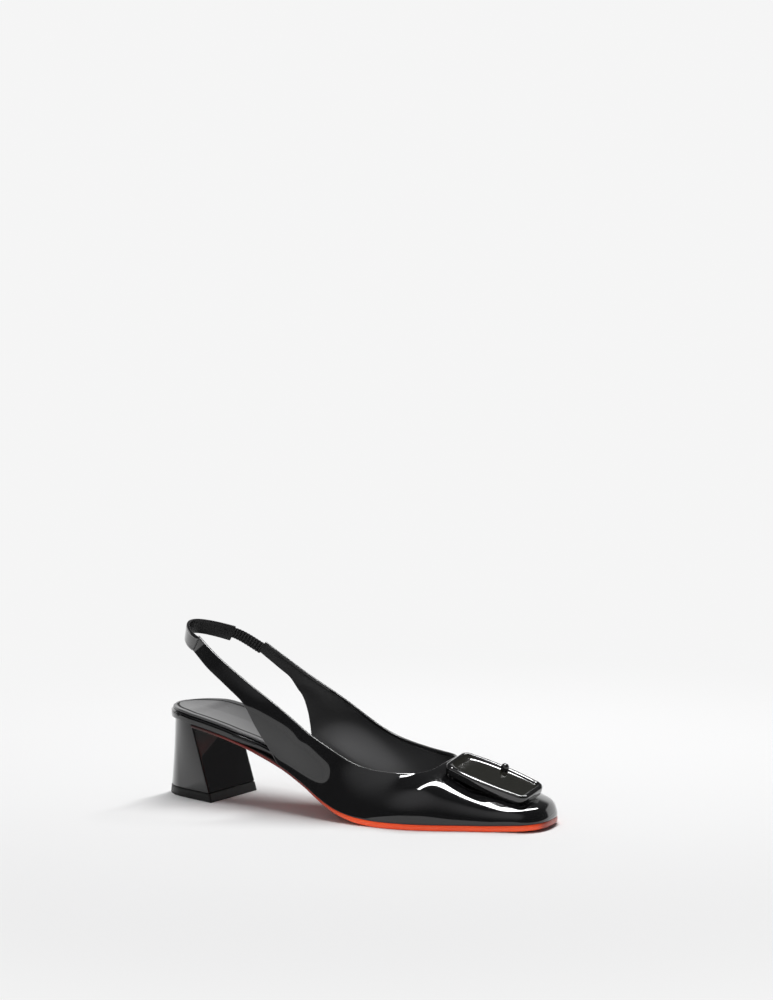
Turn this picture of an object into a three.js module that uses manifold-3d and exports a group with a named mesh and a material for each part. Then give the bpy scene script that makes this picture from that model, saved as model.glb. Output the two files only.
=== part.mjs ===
// A slingback pump for the right foot: patent upper with a square toe, a block heel, a thin
// leather sole with a coloured edge, and a covered buckle on the vamp.
// Millimetres, +X towards the toe, +Y towards the inner (medial) side of the foot, +Z up.
// The origin is on the floor, under the middle of the shoe.
import * as THREE from 'three';
import { mergeVertices } from 'three/addons/utils/BufferGeometryUtils.js';
import Module from 'manifold-3d';

const wasm = await Module();
wasm.setup();

// Driving sizes of the last
const footLength = 244;
const ballWidth = 75;
const seatHeight = 51.5;
const collarHeight = 99.5;
const vampHeight = 33;
const swingStart = 60;
const swingAngle = 9.1;
const heelRound = 27;
const toeRound = 15;
const toeSquareness = 2.6;
const toeSpring = 1.8;

// Walls and thicknesses
const clearance = 0.3;
const upperWall = 1.6;
const soleEdge = 3.3;
const waistEdge = 1.5;
const soleRound = 0.7;
const boardThickness = 4.6;
const boardThin = 2.2;
const boardInset = 3.8;
const boardGroove = 0.6;
const sockThickness = 1.2;
const sockMargin = 1.0;
const bedDip = 1.2;

// Heel
const liftThickness = 5.2;
const liftBevel = 0.4;
const heelBaseWidth = 48.6;
const heelBaseBack = -4;
const breastFoot = 38.8;
const breastTop = 25.2;
const heelSeatInset = 2.2;
const heelTaper = 0.46;
const heelBackRound = 0.36;
const heelFlare = 1.25;

// Back strap and elastic
const strapBack = 9.3;
const strapRound = 22;
const strapLean = 1.6;
const strapWidth = 8.6;
const strapStep = 0.4;
const strapEndAt = 27.2;
const strapEndSlant = 3.6;
const strapCrestShare = 1.026;
const strapEndShare = 0.972;
const elasticThickness = 1.2;
const elasticWidth = 5.6;
const elasticDrop = 0.9;
const elasticRuffle = 0.35;
const elasticFolds = 9;

// Buckle on the vamp
const buckleLength = 53;
const buckleWidth = 26;
const buckleBow = 1.6;
const buckleCorner = 5.5;
const buckleBar = 3.4;
const buckleHeight = 5.6;
const buckleBevel = 1.2;
const buckleBackShare = 0.7471;
const buckleAside = -3.5;
const buckleRoll = 10.5;
const plateRecess = 1.3;
const plateThickness = 1.6;
const pinDiameter = 5.2;
const pinHeight = 2.2;
const pinProfile = [
  { out: 0, up: 0 },
  { out: 1, up: 0 },
  { out: 1, up: 0.6 },
  { out: 0.85, up: 0.9 },
  { out: 0.5, up: 1 },
  { out: 0, up: 1 },
];

// Outline of the sole from the heel's back to the toe: half widths either side of the centre
// line, as shares of ballWidth, at shares of footLength.
const outlineRows = [
  { at: 0.000, lateral: 0.345, medial: 0.340 },
  { at: 0.108, lateral: 0.352, medial: 0.345 },
  { at: 0.246, lateral: 0.362, medial: 0.322 },
  { at: 0.325, lateral: 0.394, medial: 0.286 },
  { at: 0.413, lateral: 0.438, medial: 0.266 },
  { at: 0.492, lateral: 0.484, medial: 0.300 },
  { at: 0.580, lateral: 0.526, medial: 0.376 },
  { at: 0.659, lateral: 0.540, medial: 0.443 },
  { at: 0.708, lateral: 0.526, medial: 0.462 },
  { at: 0.748, lateral: 0.492, medial: 0.464 },
  { at: 0.787, lateral: 0.447, medial: 0.450 },
  { at: 0.826, lateral: 0.398, medial: 0.421 },
  { at: 0.875, lateral: 0.343, medial: 0.374 },
  { at: 0.915, lateral: 0.302, medial: 0.330 },
  { at: 1.000, lateral: 0.252, medial: 0.275 },
];

// Underside of the sole above the floor, as shares of seatHeight, at shares of footLength.
const treadRows = [
  { at: 0.000, up: 0.880 },
  { at: 0.069, up: 0.870 },
  { at: 0.108, up: 0.842 },
  { at: 0.187, up: 0.768 },
  { at: 0.246, up: 0.697 },
  { at: 0.305, up: 0.612 },
  { at: 0.369, up: 0.503 },
  { at: 0.433, up: 0.350 },
  { at: 0.492, up: 0.175 },
  { at: 0.536, up: 0.078 },
  { at: 0.590, up: 0.018 },
  { at: 0.639, up: 0.000 },
  { at: 1.000, up: 0.000 },
];

// Opening of the shoe seen from above: half widths of the straps and of the top edges, as
// shares of ballWidth.
const collarRows = [
  { at: 0.030, lateral: 0.235, medial: 0.235 },
  { at: 0.108, lateral: 0.268, medial: 0.268 },
  { at: 0.167, lateral: 0.313, medial: 0.313 },
  { at: 0.285, lateral: 0.367, medial: 0.365 },
  { at: 0.413, lateral: 0.416, medial: 0.402 },
  { at: 0.462, lateral: 0.432, medial: 0.407 },
];

// Strap arm and rear edge of each quarter, from the strap's end down to the sole: the lower
// and the top end of each rib. Stations are shares of footLength, heights of collarHeight. The
// last rib stands on the sole.
const armRows = {
  lateral: [
    { low: 0.087, lowUp: 0.884, top: 0.108, topUp: 0.961 },
    { low: 0.162, lowUp: 0.787, top: 0.177, topUp: 0.860 },
    { low: 0.226, lowUp: 0.690, top: 0.244, topUp: 0.769 },
    { low: 0.258, lowUp: 0.638, top: 0.283, topUp: 0.715 },
    { low: 0.277, lowUp: 0.587, top: 0.318, topUp: 0.671 },
    { low: 0.303, lowUp: 0.474, top: 0.375, topUp: 0.590 },
    { low: 0.337, lowUp: 0.361, top: 0.430, topUp: 0.502 },
    { low: 0.360, top: 0.457, topUp: 0.463 },
  ],
  medial: [
    { low: 0.170, lowUp: 0.834, top: 0.185, topUp: 0.885 },
    { low: 0.223, lowUp: 0.741, top: 0.247, topUp: 0.790 },
    { low: 0.251, lowUp: 0.692, top: 0.276, topUp: 0.747 },
    { low: 0.271, lowUp: 0.632, top: 0.308, topUp: 0.702 },
    { low: 0.289, lowUp: 0.583, top: 0.336, topUp: 0.665 },
    { low: 0.306, lowUp: 0.493, top: 0.379, topUp: 0.609 },
    { low: 0.318, lowUp: 0.395, top: 0.416, topUp: 0.556 },
    { low: 0.328, top: 0.439, topUp: 0.523 },
  ],
};

// Ribs of the quarter and vamp, from the quarter's foot to the toe. way is the place round the
// sole's outline where the rib stands, and the first stands at the arm's last rib; top, topOut
// and topUp are its end on the top edge, as shares of footLength, ballWidth and vampHeight. The
// rib turns over at the share turn of its way, pushed rise of vampHeight upwards and out of
// ballWidth sideways, with the weight pull.
const vampRows = {
  lateral: [
    { top: 0.457, topOut: 0.430, topUp: 1.397, turn: 0.500, rise: 0.000, out: 0.035, pull: 1.0 },
    { way: 0.419, top: 0.510, topOut: 0.430, topUp: 1.190, turn: 0.500, rise: 0.000, out: 0.030, pull: 1.0 },
    { way: 0.473, top: 0.557, topOut: 0.405, topUp: 0.996, turn: 0.500, rise: 0.020, out: 0.020, pull: 1.0 },
    { way: 0.527, top: 0.608, topOut: 0.396, topUp: 0.918, turn: 0.480, rise: 0.050, out: 0.015, pull: 1.0 },
    { way: 0.581, top: 0.654, topOut: 0.377, topUp: 0.893, turn: 0.440, rise: 0.120, out: 0.020, pull: 1.1 },
    { way: 0.634, top: 0.694, topOut: 0.325, topUp: 0.894, turn: 0.360, rise: 0.280, out: 0.020, pull: 1.5 },
    { way: 0.685, top: 0.719, topOut: 0.227, topUp: 0.909, turn: 0.260, rise: 0.420, out: 0.018, pull: 2.2 },
    { way: 0.732, top: 0.727, topOut: 0.147, topUp: 0.939, turn: 0.180, rise: 0.320, out: 0.015, pull: 3.2 },
    { way: 0.788, top: 0.729, topOut: 0.093, topUp: 0.958, turn: 0.100, rise: 0.215, out: 0.010, pull: 5.0 },
    { way: 0.826, top: 0.730, topOut: 0.050, topUp: 0.970, turn: 0.070, rise: 0.165, out: 0.008, pull: 6.0 },
    { way: 0.870, top: 0.730, topOut: 0.020, topUp: 0.979, turn: 0.050, rise: 0.155, out: 0.006, pull: 7.0 },
    { way: 0.920, top: 0.730, topOut: -0.008, topUp: 0.985, turn: 0.040, rise: 0.175, out: 0.004, pull: 8.0 },
    { way: 1.000, top: 0.730, topOut: -0.040, topUp: 0.990, turn: 0.035, rise: 0.215, out: 0.000, pull: 9.0 },
  ],
  medial: [
    { top: 0.439, topOut: 0.405, topUp: 1.575, turn: 0.500, rise: 0.000, out: 0.030, pull: 1.0 },
    { way: 0.405, top: 0.494, topOut: 0.410, topUp: 1.340, turn: 0.500, rise: 0.000, out: 0.050, pull: 1.0 },
    { way: 0.464, top: 0.547, topOut: 0.408, topUp: 1.180, turn: 0.480, rise: 0.020, out: 0.055, pull: 1.0 },
    { way: 0.523, top: 0.600, topOut: 0.398, topUp: 1.090, turn: 0.460, rise: 0.060, out: 0.050, pull: 1.0 },
    { way: 0.581, top: 0.649, topOut: 0.378, topUp: 1.035, turn: 0.420, rise: 0.160, out: 0.040, pull: 1.2 },
    { way: 0.634, top: 0.693, topOut: 0.345, topUp: 1.010, turn: 0.350, rise: 0.320, out: 0.030, pull: 1.5 },
    { way: 0.685, top: 0.719, topOut: 0.285, topUp: 1.006, turn: 0.270, rise: 0.460, out: 0.018, pull: 2.2 },
    { way: 0.732, top: 0.727, topOut: 0.225, topUp: 1.008, turn: 0.190, rise: 0.400, out: 0.012, pull: 3.0 },
    { way: 0.788, top: 0.729, topOut: 0.175, topUp: 1.006, turn: 0.120, rise: 0.300, out: 0.008, pull: 4.5 },
    { way: 0.826, top: 0.730, topOut: 0.130, topUp: 1.003, turn: 0.080, rise: 0.280, out: 0.006, pull: 6.0 },
    { way: 0.870, top: 0.730, topOut: 0.100, topUp: 1.000, turn: 0.055, rise: 0.260, out: 0.005, pull: 7.0 },
    { way: 0.920, top: 0.730, topOut: 0.072, topUp: 0.996, turn: 0.040, rise: 0.240, out: 0.004, pull: 8.0 },
    { way: 1.000, top: 0.730, topOut: 0.040, topUp: 0.990, turn: 0.035, rise: 0.215, out: 0.000, pull: 9.0 },
  ],
};

// The vamp is a little full between its turn and the throat: crown is how far, growing between
// two shares of the way from the quarter's foot to the toe.
const vampCrown = 1.5;
const crownShares = [0.35, 0.6];

// From between two shares of the length on, each rib's second point stands wallLean out of the
// rib's foot: the quarter leans in from the sole, and the vamp bulges over it. The lean changes
// between two ways. Behind that, the lower edge of the outer strap arm stands out by armFlare,
// which comes and goes between shares of the arm's way.
const plumbShares = [0.31, 0.36];
const wallLean = [-2.5, 2.1];
const leanWays = [0.50, 0.66];
const armFlare = { lateral: 3.2, medial: 0 };
const flareStart = [0, 0.14];
const flareEnd = [0.56, 0.86];

const { lerp, clamp, smoothstep, degToRad } = THREE.MathUtils;
const sign = { lateral: -1, medial: 1 };
const quarterTurn = Math.PI / 2;
const steps = (count) => Array.from({ length: count + 1 }, (_, i) => i / count);
const mergeReach = 1e-4;

// Smooth curve through the points x, y that never overshoots between two of them: a cubic
// Hermite whose slopes are the harmonic means of the slopes on either side.
function smooth(x, y) {
  const slope = x.slice(1).map((value, i) => (y[i + 1] - y[i]) / (value - x[i]));
  const tangent = y.map((_, i) => {
    if (i === 0 || i === slope.length) return slope[Math.min(i, slope.length - 1)];
    const [before, after] = [slope[i - 1], slope[i]];
    return before * after > 0 ? (2 * before * after) / (before + after) : 0;
  });
  return (at) => {
    const inside = clamp(at, x[0], x[x.length - 1]);
    const i = Math.min(x.findLastIndex((value) => value <= inside), slope.length - 1);
    const span = x[i + 1] - x[i];
    const t = (inside - x[i]) / span;
    const rise = (2 * t ** 3 - 3 * t ** 2 + 1) * y[i] + (3 * t ** 2 - 2 * t ** 3) * y[i + 1];
    const bend = (t ** 3 - 2 * t ** 2 + t) * tangent[i] + (t ** 3 - t ** 2) * tangent[i + 1];
    return rise + bend * span;
  };
}

// Column of a table as a curve along its stations, or along its rows from 0 to 1.
const alongShoe = (rows, key) => smooth(rows.map((row) => row.at), rows.map((row) => row[key]));
const alongRows = (rows, key) => smooth(steps(rows.length - 1), rows.map((row) => row[key]));

// A point of the last: station along the centre line, offset across it (medial positive) and
// height. The centre line is straight at the heel and swings inwards as an arc to the toe.
const swingRadius = (footLength - swingStart) / degToRad(swingAngle);
function place(station, across, up) {
  const turn = Math.max(0, station - swingStart) / swingRadius;
  const x = Math.min(station, swingStart) + (swingRadius - across) * Math.sin(turn);
  const y = swingRadius - (swingRadius - across) * Math.cos(turn);
  return new THREE.Vector3(x, y, up);
}

// Outline of the sole, drawn in by inset. The way round runs from 0 at the heel's back,
// through the heel's ellipse, the side and the toe's squared corner, to 1 at the toe.
const outlineHalf = {
  lateral: alongShoe(outlineRows, 'lateral'),
  medial: alongShoe(outlineRows, 'medial'),
};
const heelWay = 0.16;
const toeWay = 0.84;
function outline(way, side, inset = 0) {
  const heel = heelRound - inset;
  const toeStart = footLength - toeRound;
  let station = lerp(heelRound, toeStart, (way - heelWay) / (toeWay - heelWay));
  let share = 1;
  if (way < heelWay) {
    const angle = (way / heelWay) * quarterTurn;
    station = heelRound - heel * Math.cos(angle);
    share = Math.sin(angle);
  } else if (way > toeWay) {
    const angle = ((way - toeWay) / (1 - toeWay)) * quarterTurn;
    const power = 2 / toeSquareness;
    station = toeStart + (toeRound - inset) * Math.sin(angle) ** power;
    share = Math.max(0, Math.cos(angle)) ** power;
  }
  const half = outlineHalf[side](station / footLength) * ballWidth - inset;
  return { station, across: sign[side] * half * share };
}
const wayAt = (share) =>
  lerp(heelWay, toeWay, (share * footLength - heelRound) / (footLength - toeRound - heelRound));

// Heights along the shoe, in millimetres above the floor. The toe springs up past a share of
// the length, and the sole's edge and the board change their thickness between two shares.
const treadShare = alongShoe(treadRows, 'up');
const springShare = 0.85;
const edgeShares = [0.43, 0.63];
const thinShares = [0.34, 0.46];
function tread(station) {
  const spring = Math.max(0, station / footLength - springShare) / (1 - springShare);
  return treadShare(station / footLength) * seatHeight + toeSpring * spring ** 2;
}
const edge = (station) =>
  lerp(waistEdge, soleEdge, smoothstep(station / footLength, ...edgeShares));
const feather = (station) => tread(station) + edge(station);
const boardTop = (station) => {
  const thin = smoothstep(station / footLength, ...thinShares);
  return feather(station) + clearance + lerp(boardThickness, boardThin, thin);
};

// Merges the points that lie together, drops the triangles that vanish and turns the faces
// outwards.
function closed(positions, index) {
  const raw = new THREE.BufferGeometry();
  raw.setAttribute('position', new THREE.Float32BufferAttribute(positions, 3));
  raw.setIndex(index);
  const merged = mergeVertices(raw, mergeReach);
  const order = [...merged.index.array];
  const kept = [];
  for (let i = 0; i < order.length; i += 3) {
    const triangle = order.slice(i, i + 3);
    if (new Set(triangle).size === 3) kept.push(...triangle);
  }
  if (enclosed(merged, kept) < 0) kept.reverse();
  merged.setIndex(kept);
  return merged;
}

// Six times the volume inside the triangles, negative where they face inwards.
function enclosed(geometry, order) {
  const [a, b, c] = [0, 1, 2].map(() => new THREE.Vector3());
  let sum = 0;
  for (let i = 0; i < order.length; i += 3) {
    [a, b, c].forEach((point, k) => point.fromBufferAttribute(geometry.attributes.position, order[i + k]));
    sum += a.dot(b.cross(c));
  }
  return sum;
}

// Closed skin through a row of rings. Each ring's first half faces its second half across the
// solid, so the two ends are closed by a ladder of quads.
function loft(rings) {
  const count = rings[0].length;
  const last = (rings.length - 1) * count;
  const index = [];
  const quad = (a, b, c, d) => index.push(a, b, c, a, c, d);
  for (let i = 0; i < last; i += count) {
    for (let j = 0; j < count; j += 1) {
      const next = (j + 1) % count;
      quad(i + j, i + next, i + count + next, i + count + j);
    }
  }
  for (let j = 0; j < count / 2 - 1; j += 1) {
    const far = count - 1 - j;
    quad(j, far, far - 1, j + 1);
    quad(last + j, last + j + 1, last + far - 1, last + far);
  }
  return closed(rings.flat().flatMap((point) => point.toArray()), index);
}

// The bed's hollow fades out at the heel's rim, and between two shares of the length.
const dipShares = [0.28, 0.52];
const dipFade = (way, station) =>
  smoothstep(way, 0, heelWay) * (1 - smoothstep(station / footLength, ...dipShares));

// A layer of the sole between two levels, inside the outline drawn in by inset. The section
// runs from the middle of the underside round one edge to the middle of the top: out is the
// share of the half width, set how far the edge stands in, up the share of the thickness and
// dip the share of the bed's hollow.
function layer({ from = 0, to = 1, inset, bottom, top, section, slices = 44 }) {
  const rings = steps(slices).map((t) => {
    const half = (side) => section.map((row) => {
      const way = lerp(from, to, t);
      const { station, across } = outline(way, side, inset(outline(way, side).station) + row.set);
      const hollow = bedDip * (row.dip ?? 0) * (1 - row.out ** 2) * dipFade(way, station);
      return place(station, across * row.out, lerp(bottom(station), top(station), row.up) - hollow);
    });
    return [...half('lateral'), ...half('medial').reverse()];
  });
  return loft(rings);
}

function outsole() {
  return layer({
    from: wayAt((breastTop + 3 * clearance) / footLength),
    inset: () => 0,
    bottom: tread,
    top: feather,
    section: [
      { out: 0, set: 0, up: 0 },
      { out: 0.5, set: 0, up: 0 },
      { out: 1, set: soleRound, up: 0 },
      { out: 1, set: 0, up: 0.25 },
      { out: 1, set: 0, up: 1 },
      { out: 0.5, set: 0, up: 1 },
      { out: 0, set: 0, up: 1 },
    ],
  });
}

// The board is covered, with a groove below its rim. It is flush with the outline at the seat
// and stands inside the upper in the forepart, from between two shares of the length.
const insetShares = [0.22, 0.32];
const boardSet = (station) => boardInset * smoothstep(station / footLength, ...insetShares);
function insoleBoard() {
  return layer({
    inset: boardSet,
    bottom: (station) => feather(station) + clearance,
    top: boardTop,
    slices: 40,
    section: [
      { out: 0, set: 0, up: 0 },
      { out: 0.5, set: 0, up: 0 },
      { out: 1, set: boardGroove, up: 0 },
      { out: 1, set: 0, up: 0.15 },
      { out: 1, set: 0, up: 0.66 },
      { out: 1, set: boardGroove, up: 0.74 },
      { out: 1, set: 0, up: 0.84 },
      { out: 1, set: boardGroove, up: 1 },
      { out: 0.6, set: 0, up: 1, dip: 1 },
      { out: 0, set: 0, up: 1, dip: 1 },
    ],
  });
}

function sockLining() {
  return layer({
    inset: (station) => boardSet(station) + sockMargin,
    bottom: (station) => boardTop(station) + clearance,
    top: (station) => boardTop(station) + clearance + sockThickness,
    section: [
      { out: 0, set: 0, up: 0, dip: 1 },
      { out: 0.6, set: 0, up: 0, dip: 1 },
      { out: 1, set: 0, up: 0 },
      { out: 1, set: 0, up: 0.5 },
      { out: 1, set: sockThickness / 2, up: 1 },
      { out: 0.6, set: 0, up: 1, dip: 1 },
      { out: 0, set: 0, up: 1, dip: 1 },
    ],
  });
}

// The heel's outline at a share of its height: flared from the seat's outline above to the
// base's rounded taper on the floor. t runs from the middle of the back to the breast's
// corner at 1, then across the flat breast to its middle at 2.
const seatSweep = Math.acos((heelRound - breastTop) / (heelRound - heelSeatInset));
function heelPoint(side, t, upOf, bevel = 0) {
  const round = Math.min(1, t);
  const seat = outline((heelWay * round * seatSweep) / quarterTurn, side, heelSeatInset);
  const full = feather(seat.station);
  const up = upOf(full);
  const down = 1 - up / full;
  const along = 1 - Math.cos(round * quarterTurn);
  const curl = Math.sqrt(1 - Math.max(0, 1 - along / heelBackRound) ** 2);
  const base = {
    station: lerp(heelBaseBack, breastFoot, along),
    across: (sign[side] * heelBaseWidth * lerp(heelTaper, 1, along) * curl) / 2,
  };
  const station = lerp(seat.station, base.station, down ** lerp(heelFlare, 1, along));
  const across = lerp(seat.across, base.across, down ** heelFlare) * (2 - Math.max(1, t));
  const drawn = bevel / (heelBaseWidth / 2);
  return place(lerp(station, breastFoot / 2, drawn), across * (1 - drawn), up);
}
const heelPath = [...steps(14), 1.5, 2];
function heelRing(upOf, bevel) {
  const half = (side) => heelPath.map((t) => heelPoint(side, t, upOf, bevel));
  return [...half('lateral'), ...half('medial').reverse()];
}
function heelBlock() {
  const base = liftThickness + clearance;
  return loft(steps(10).map((t) => heelRing((full) => lerp(base, full, t))));
}
function topLift() {
  return loft([
    heelRing(() => 0, liftBevel),
    heelRing(() => liftBevel),
    heelRing(() => liftThickness),
  ]);
}

// Line of the straps and the top edge seen from above. The way round runs from 0 at the
// back, through a round heel curve that ends at 1, and on along the quarter. lean moves the
// lower edge of a strap back.
const collarHalf = {
  lateral: alongShoe(collarRows, 'lateral'),
  medial: alongShoe(collarRows, 'medial'),
};
function collar(way, side, lean = 0) {
  const angle = Math.min(way, 1) * quarterTurn;
  const past = Math.max(0, way - 1) * quarterTurn * strapRound;
  const station = strapBack - lean + strapRound * (1 - Math.cos(angle)) + past;
  const across = collarHalf[side](station / footLength) * ballWidth * Math.sin(angle);
  return { station, across: sign[side] * across };
}
function collarWay(station, lean = 0) {
  const from = station - (strapBack - lean);
  if (from > strapRound) return 1 + (from - strapRound) / (quarterTurn * strapRound);
  return Math.acos(1 - from / strapRound) / quarterTurn;
}
function collarPoint(way, side, up, lean) {
  const { station, across } = collar(way, side, lean);
  return place(station, across, up);
}

// A rib of the upper: a rational Bezier curve from the sole or the strap's lower edge, over
// its turn, to the top edge.
const binomial = [1, 4, 6, 4, 1];
function ribPoint({ points, weights }, v) {
  const sum = new THREE.Vector3();
  let total = 0;
  points.forEach((point, i) => {
    const weight = weights[i] * binomial[i] * v ** i * (1 - v) ** (4 - i);
    sum.addScaledVector(point, weight);
    total += weight;
  });
  return sum.divideScalar(total);
}
function rib(low, top, side, { turn, rise, out, pull, crown, lean, across }) {
  const tilt = Math.max(0, low.x - swingStart) / swingRadius;
  const outward = new THREE.Vector3(-Math.sin(tilt), Math.cos(tilt), 0).multiplyScalar(sign[side]);
  const shoulder = low.clone().lerp(top, turn).addScaledVector(outward, out);
  shoulder.z += rise;
  const plumb = smoothstep(low.x / footLength, ...plumbShares);
  const half = shoulder.clone().sub(low).multiplyScalar(0.5);
  const wall = low.clone().add(half).addScaledVector(outward, ((1 - plumb) * out) / 4);
  wall.addScaledVector(across, plumb * (lean - half.dot(across)));
  const above = shoulder.clone().lerp(top, 0.5);
  above.z += crown;
  return { points: [low, wall, shoulder, above, top], weights: [1, 1, pull, 1, 1] };
}

// Horizontal normal, out of the shoe, of the line that the ribs' lower ends follow, from points
// a small step of the way apart.
const stepLow = 0.01;
function acrossLine(lowAt, t, side) {
  const along = lowAt(Math.min(1, t + stepLow)).sub(lowAt(Math.max(0, t - stepLow)));
  return new THREE.Vector3(-along.y, along.x, 0).normalize().multiplyScalar(sign[side]);
}

// Ribs of one side: the strap arm first, then the quarter and the vamp.
const seatOfUpper = (station) => feather(station) + clearance;
const curvesOf = (rows) =>
  Object.fromEntries(Object.keys(rows[0]).map((key) => [key, alongRows(rows, key)]));
const armFoot = (side) => armRows[side][armRows[side].length - 1];
function armRibs(side) {
  const foot = armFoot(side);
  const standing = { ...foot, lowUp: seatOfUpper(foot.low * footLength) / collarHeight };
  const at = curvesOf([...armRows[side].slice(0, -1), standing]);
  const first = vampRows[side][0];
  const lowAt = (t) => {
    const station = at.low(t) * footLength;
    const free = collar(collarWay(station, strapLean), side, strapLean);
    const lasted = outline(wayAt(at.low(t)), side);
    const flare = smoothstep(t, ...flareStart) * (1 - smoothstep(t, ...flareEnd));
    const across = lerp(free.across, lasted.across, t ** 2) + sign[side] * armFlare[side] * flare;
    return place(station, across, at.lowUp(t) * collarHeight);
  };
  return (t) => {
    const top = collarPoint(collarWay(at.top(t) * footLength), side, at.topUp(t) * collarHeight);
    return rib(lowAt(t), top, side, {
      turn: first.turn,
      rise: 0,
      out: first.out * ballWidth * t ** 2,
      pull: first.pull,
      crown: 0,
      lean: wallLean[0],
      across: acrossLine(lowAt, t, side),
    });
  };
}
function vampRibs(side) {
  const [first, ...rest] = vampRows[side];
  const at = curvesOf([{ ...first, way: wayAt(armFoot(side).low) }, ...rest]);
  const lowAt = (t) => {
    const { station, across } = outline(at.way(t), side);
    return place(station, across, seatOfUpper(station));
  };
  return (t) => {
    const top = place(
      at.top(t) * footLength,
      sign[side] * at.topOut(t) * ballWidth,
      at.topUp(t) * vampHeight,
    );
    return rib(lowAt(t), top, side, {
      turn: at.turn(t),
      rise: at.rise(t) * vampHeight,
      out: at.out(t) * ballWidth,
      pull: at.pull(t),
      crown: vampCrown * smoothstep(t, ...crownShares),
      lean: lerp(...wallLean, smoothstep(at.way(t), ...leanWays)),
      across: acrossLine(lowAt, t, side),
    });
  };
}
const arms = { lateral: armRibs('lateral'), medial: armRibs('medial') };
const vamps = { lateral: vampRibs('lateral'), medial: vampRibs('medial') };

// Outer surface of the upper: u from -2 at the end of the lateral strap arm, -1 at its foot,
// 0 at the toe, 1 and 2 the same on the medial side; v from the sole to the top edge.
function outer(u, v) {
  const side = u < 0 ? 'lateral' : 'medial';
  const t = Math.abs(u);
  return ribPoint(t > 1 ? arms[side](2 - t) : vamps[side](1 - t), v);
}
// Unit normal out of the upper, from points a small step apart.
const stepU = 0.004;
const stepV = 0.02;
function normal(u, v) {
  const [u0, u1] = [Math.max(-2, u - stepU), Math.min(2, u + stepU)];
  const [v0, v1] = [Math.max(0, v - stepV), Math.min(1, v + stepV)];
  const along = outer(u1, v).sub(outer(u0, v));
  const up = outer(u, v1).sub(outer(u, v0));
  return along.cross(up).normalize();
}

// The wall is carried inwards from the outer surface; on the sole its edge stays level.
const upperRibs = [
  ...steps(13).map((t) => -2 + t),
  ...steps(28).slice(1).map((t) => -1 + t),
  ...steps(28).slice(1),
  ...steps(13).slice(1).map((t) => 1 + t),
];
const wallSteps = steps(11);
function wallPoint(u, v, depth) {
  const point = outer(u, v);
  const moved = point.clone().addScaledVector(normal(u, v), -depth);
  if (v === 0 && Math.abs(u) <= 1) moved.z = point.z;
  return moved;
}
function upper() {
  return loft(upperRibs.map((u) => [
    ...wallSteps.map((v) => outer(u, v)),
    ...[...wallSteps].reverse().map((v) => wallPoint(u, v, upperWall)),
  ]));
}

// A flat band along the strap line from one way to another, standing proud of the arms'
// outer face by proud. Negative ways lie on the lateral side. Its direction comes from points
// a small step of the way apart.
const stepWay = 0.01;
function band({ from, to, topUp, width, thickness, proud, slices, ruffle = () => 0 }) {
  return loft(steps(slices).map((t) => {
    const way = { top: lerp(from.top, to.top, t), low: lerp(from.low, to.low, t) };
    const face = (edge, lean, up) => {
      const side = way[edge] < 0 ? 'lateral' : 'medial';
      const at = Math.abs(way[edge]);
      const point = collarPoint(at, side, up, lean);
      const next = collarPoint(at + stepWay, side, up, lean);
      const tangent = next.sub(point).normalize().multiplyScalar(sign[side]);
      const outward = new THREE.Vector3(-tangent.y, tangent.x, 0);
      return (depth) => point.clone().addScaledVector(outward, depth);
    };
    const topHeight = topUp(way.top);
    const top = face('top', 0, topHeight);
    const low = face('low', strapLean, topHeight - width(t));
    const outside = proud + ruffle(t);
    return [top(outside), low(outside), low(outside - thickness), top(outside - thickness)];
  }));
}

// The back strap is a little thicker than the arm that it is sewn over; the elastic is
// thinner and gathered. Both keep a clearance to the piece that they join.
const gapWay = (1.5 * clearance) / strapRound;
const armEnd = (side) => {
  const { low, lowUp, top, topUp } = armRows[side][0];
  return {
    top: collarWay(top * footLength),
    low: collarWay(low * footLength, strapLean),
    width: (topUp - lowUp) * collarHeight,
  };
};
const strapEnd = {
  top: collarWay(strapEndAt),
  low: collarWay(strapEndAt - strapEndSlant, strapLean),
  width: strapWidth,
};
const strapUp = smooth(
  [-armEnd('lateral').top, 0, strapEnd.top, armEnd('medial').top],
  [armRows.lateral[0].topUp, strapCrestShare, strapEndShare, armRows.medial[0].topUp],
);
function backStrap() {
  const arm = armEnd('lateral');
  return band({
    from: { top: gapWay - arm.top, low: gapWay - arm.low },
    to: strapEnd,
    topUp: (way) => strapUp(way) * collarHeight,
    width: () => strapWidth,
    thickness: upperWall + strapStep,
    proud: strapStep,
    slices: 40,
  });
}
function elasticGusset() {
  const edges = (end, gap) => ({
    top: lerp(end.top, end.low, elasticDrop / end.width) + gap,
    low: lerp(end.top, end.low, (elasticDrop + elasticWidth) / end.width) + gap,
  });
  return band({
    from: edges(strapEnd, gapWay),
    to: edges(armEnd('medial'), -gapWay),
    topUp: (way) => strapUp(way) * collarHeight - elasticDrop,
    width: () => elasticWidth,
    thickness: elasticThickness,
    proud: (elasticThickness - upperWall) / 2,
    slices: 4 * elasticFolds,
    ruffle: (t) => elasticRuffle * Math.cos(2 * Math.PI * elasticFolds * t),
  });
}

// Joins and cuts need the shapes as solids with shared corners.
function toSolid(geometry) {
  const bare = geometry.clone();
  bare.deleteAttribute('normal');
  bare.deleteAttribute('uv');
  const { attributes, index } = mergeVertices(bare, mergeReach);
  return new wasm.Manifold(new wasm.Mesh({
    numProp: 3,
    vertProperties: new Float32Array(attributes.position.array),
    triVerts: new Uint32Array(index.array),
  }));
}
function toGeometry(solid) {
  const { vertProperties, triVerts } = solid.getMesh();
  const geometry = new THREE.BufferGeometry();
  geometry.setAttribute('position', new THREE.BufferAttribute(vertProperties, 3));
  geometry.setIndex(new THREE.BufferAttribute(triVerts, 1));
  return geometry;
}

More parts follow.
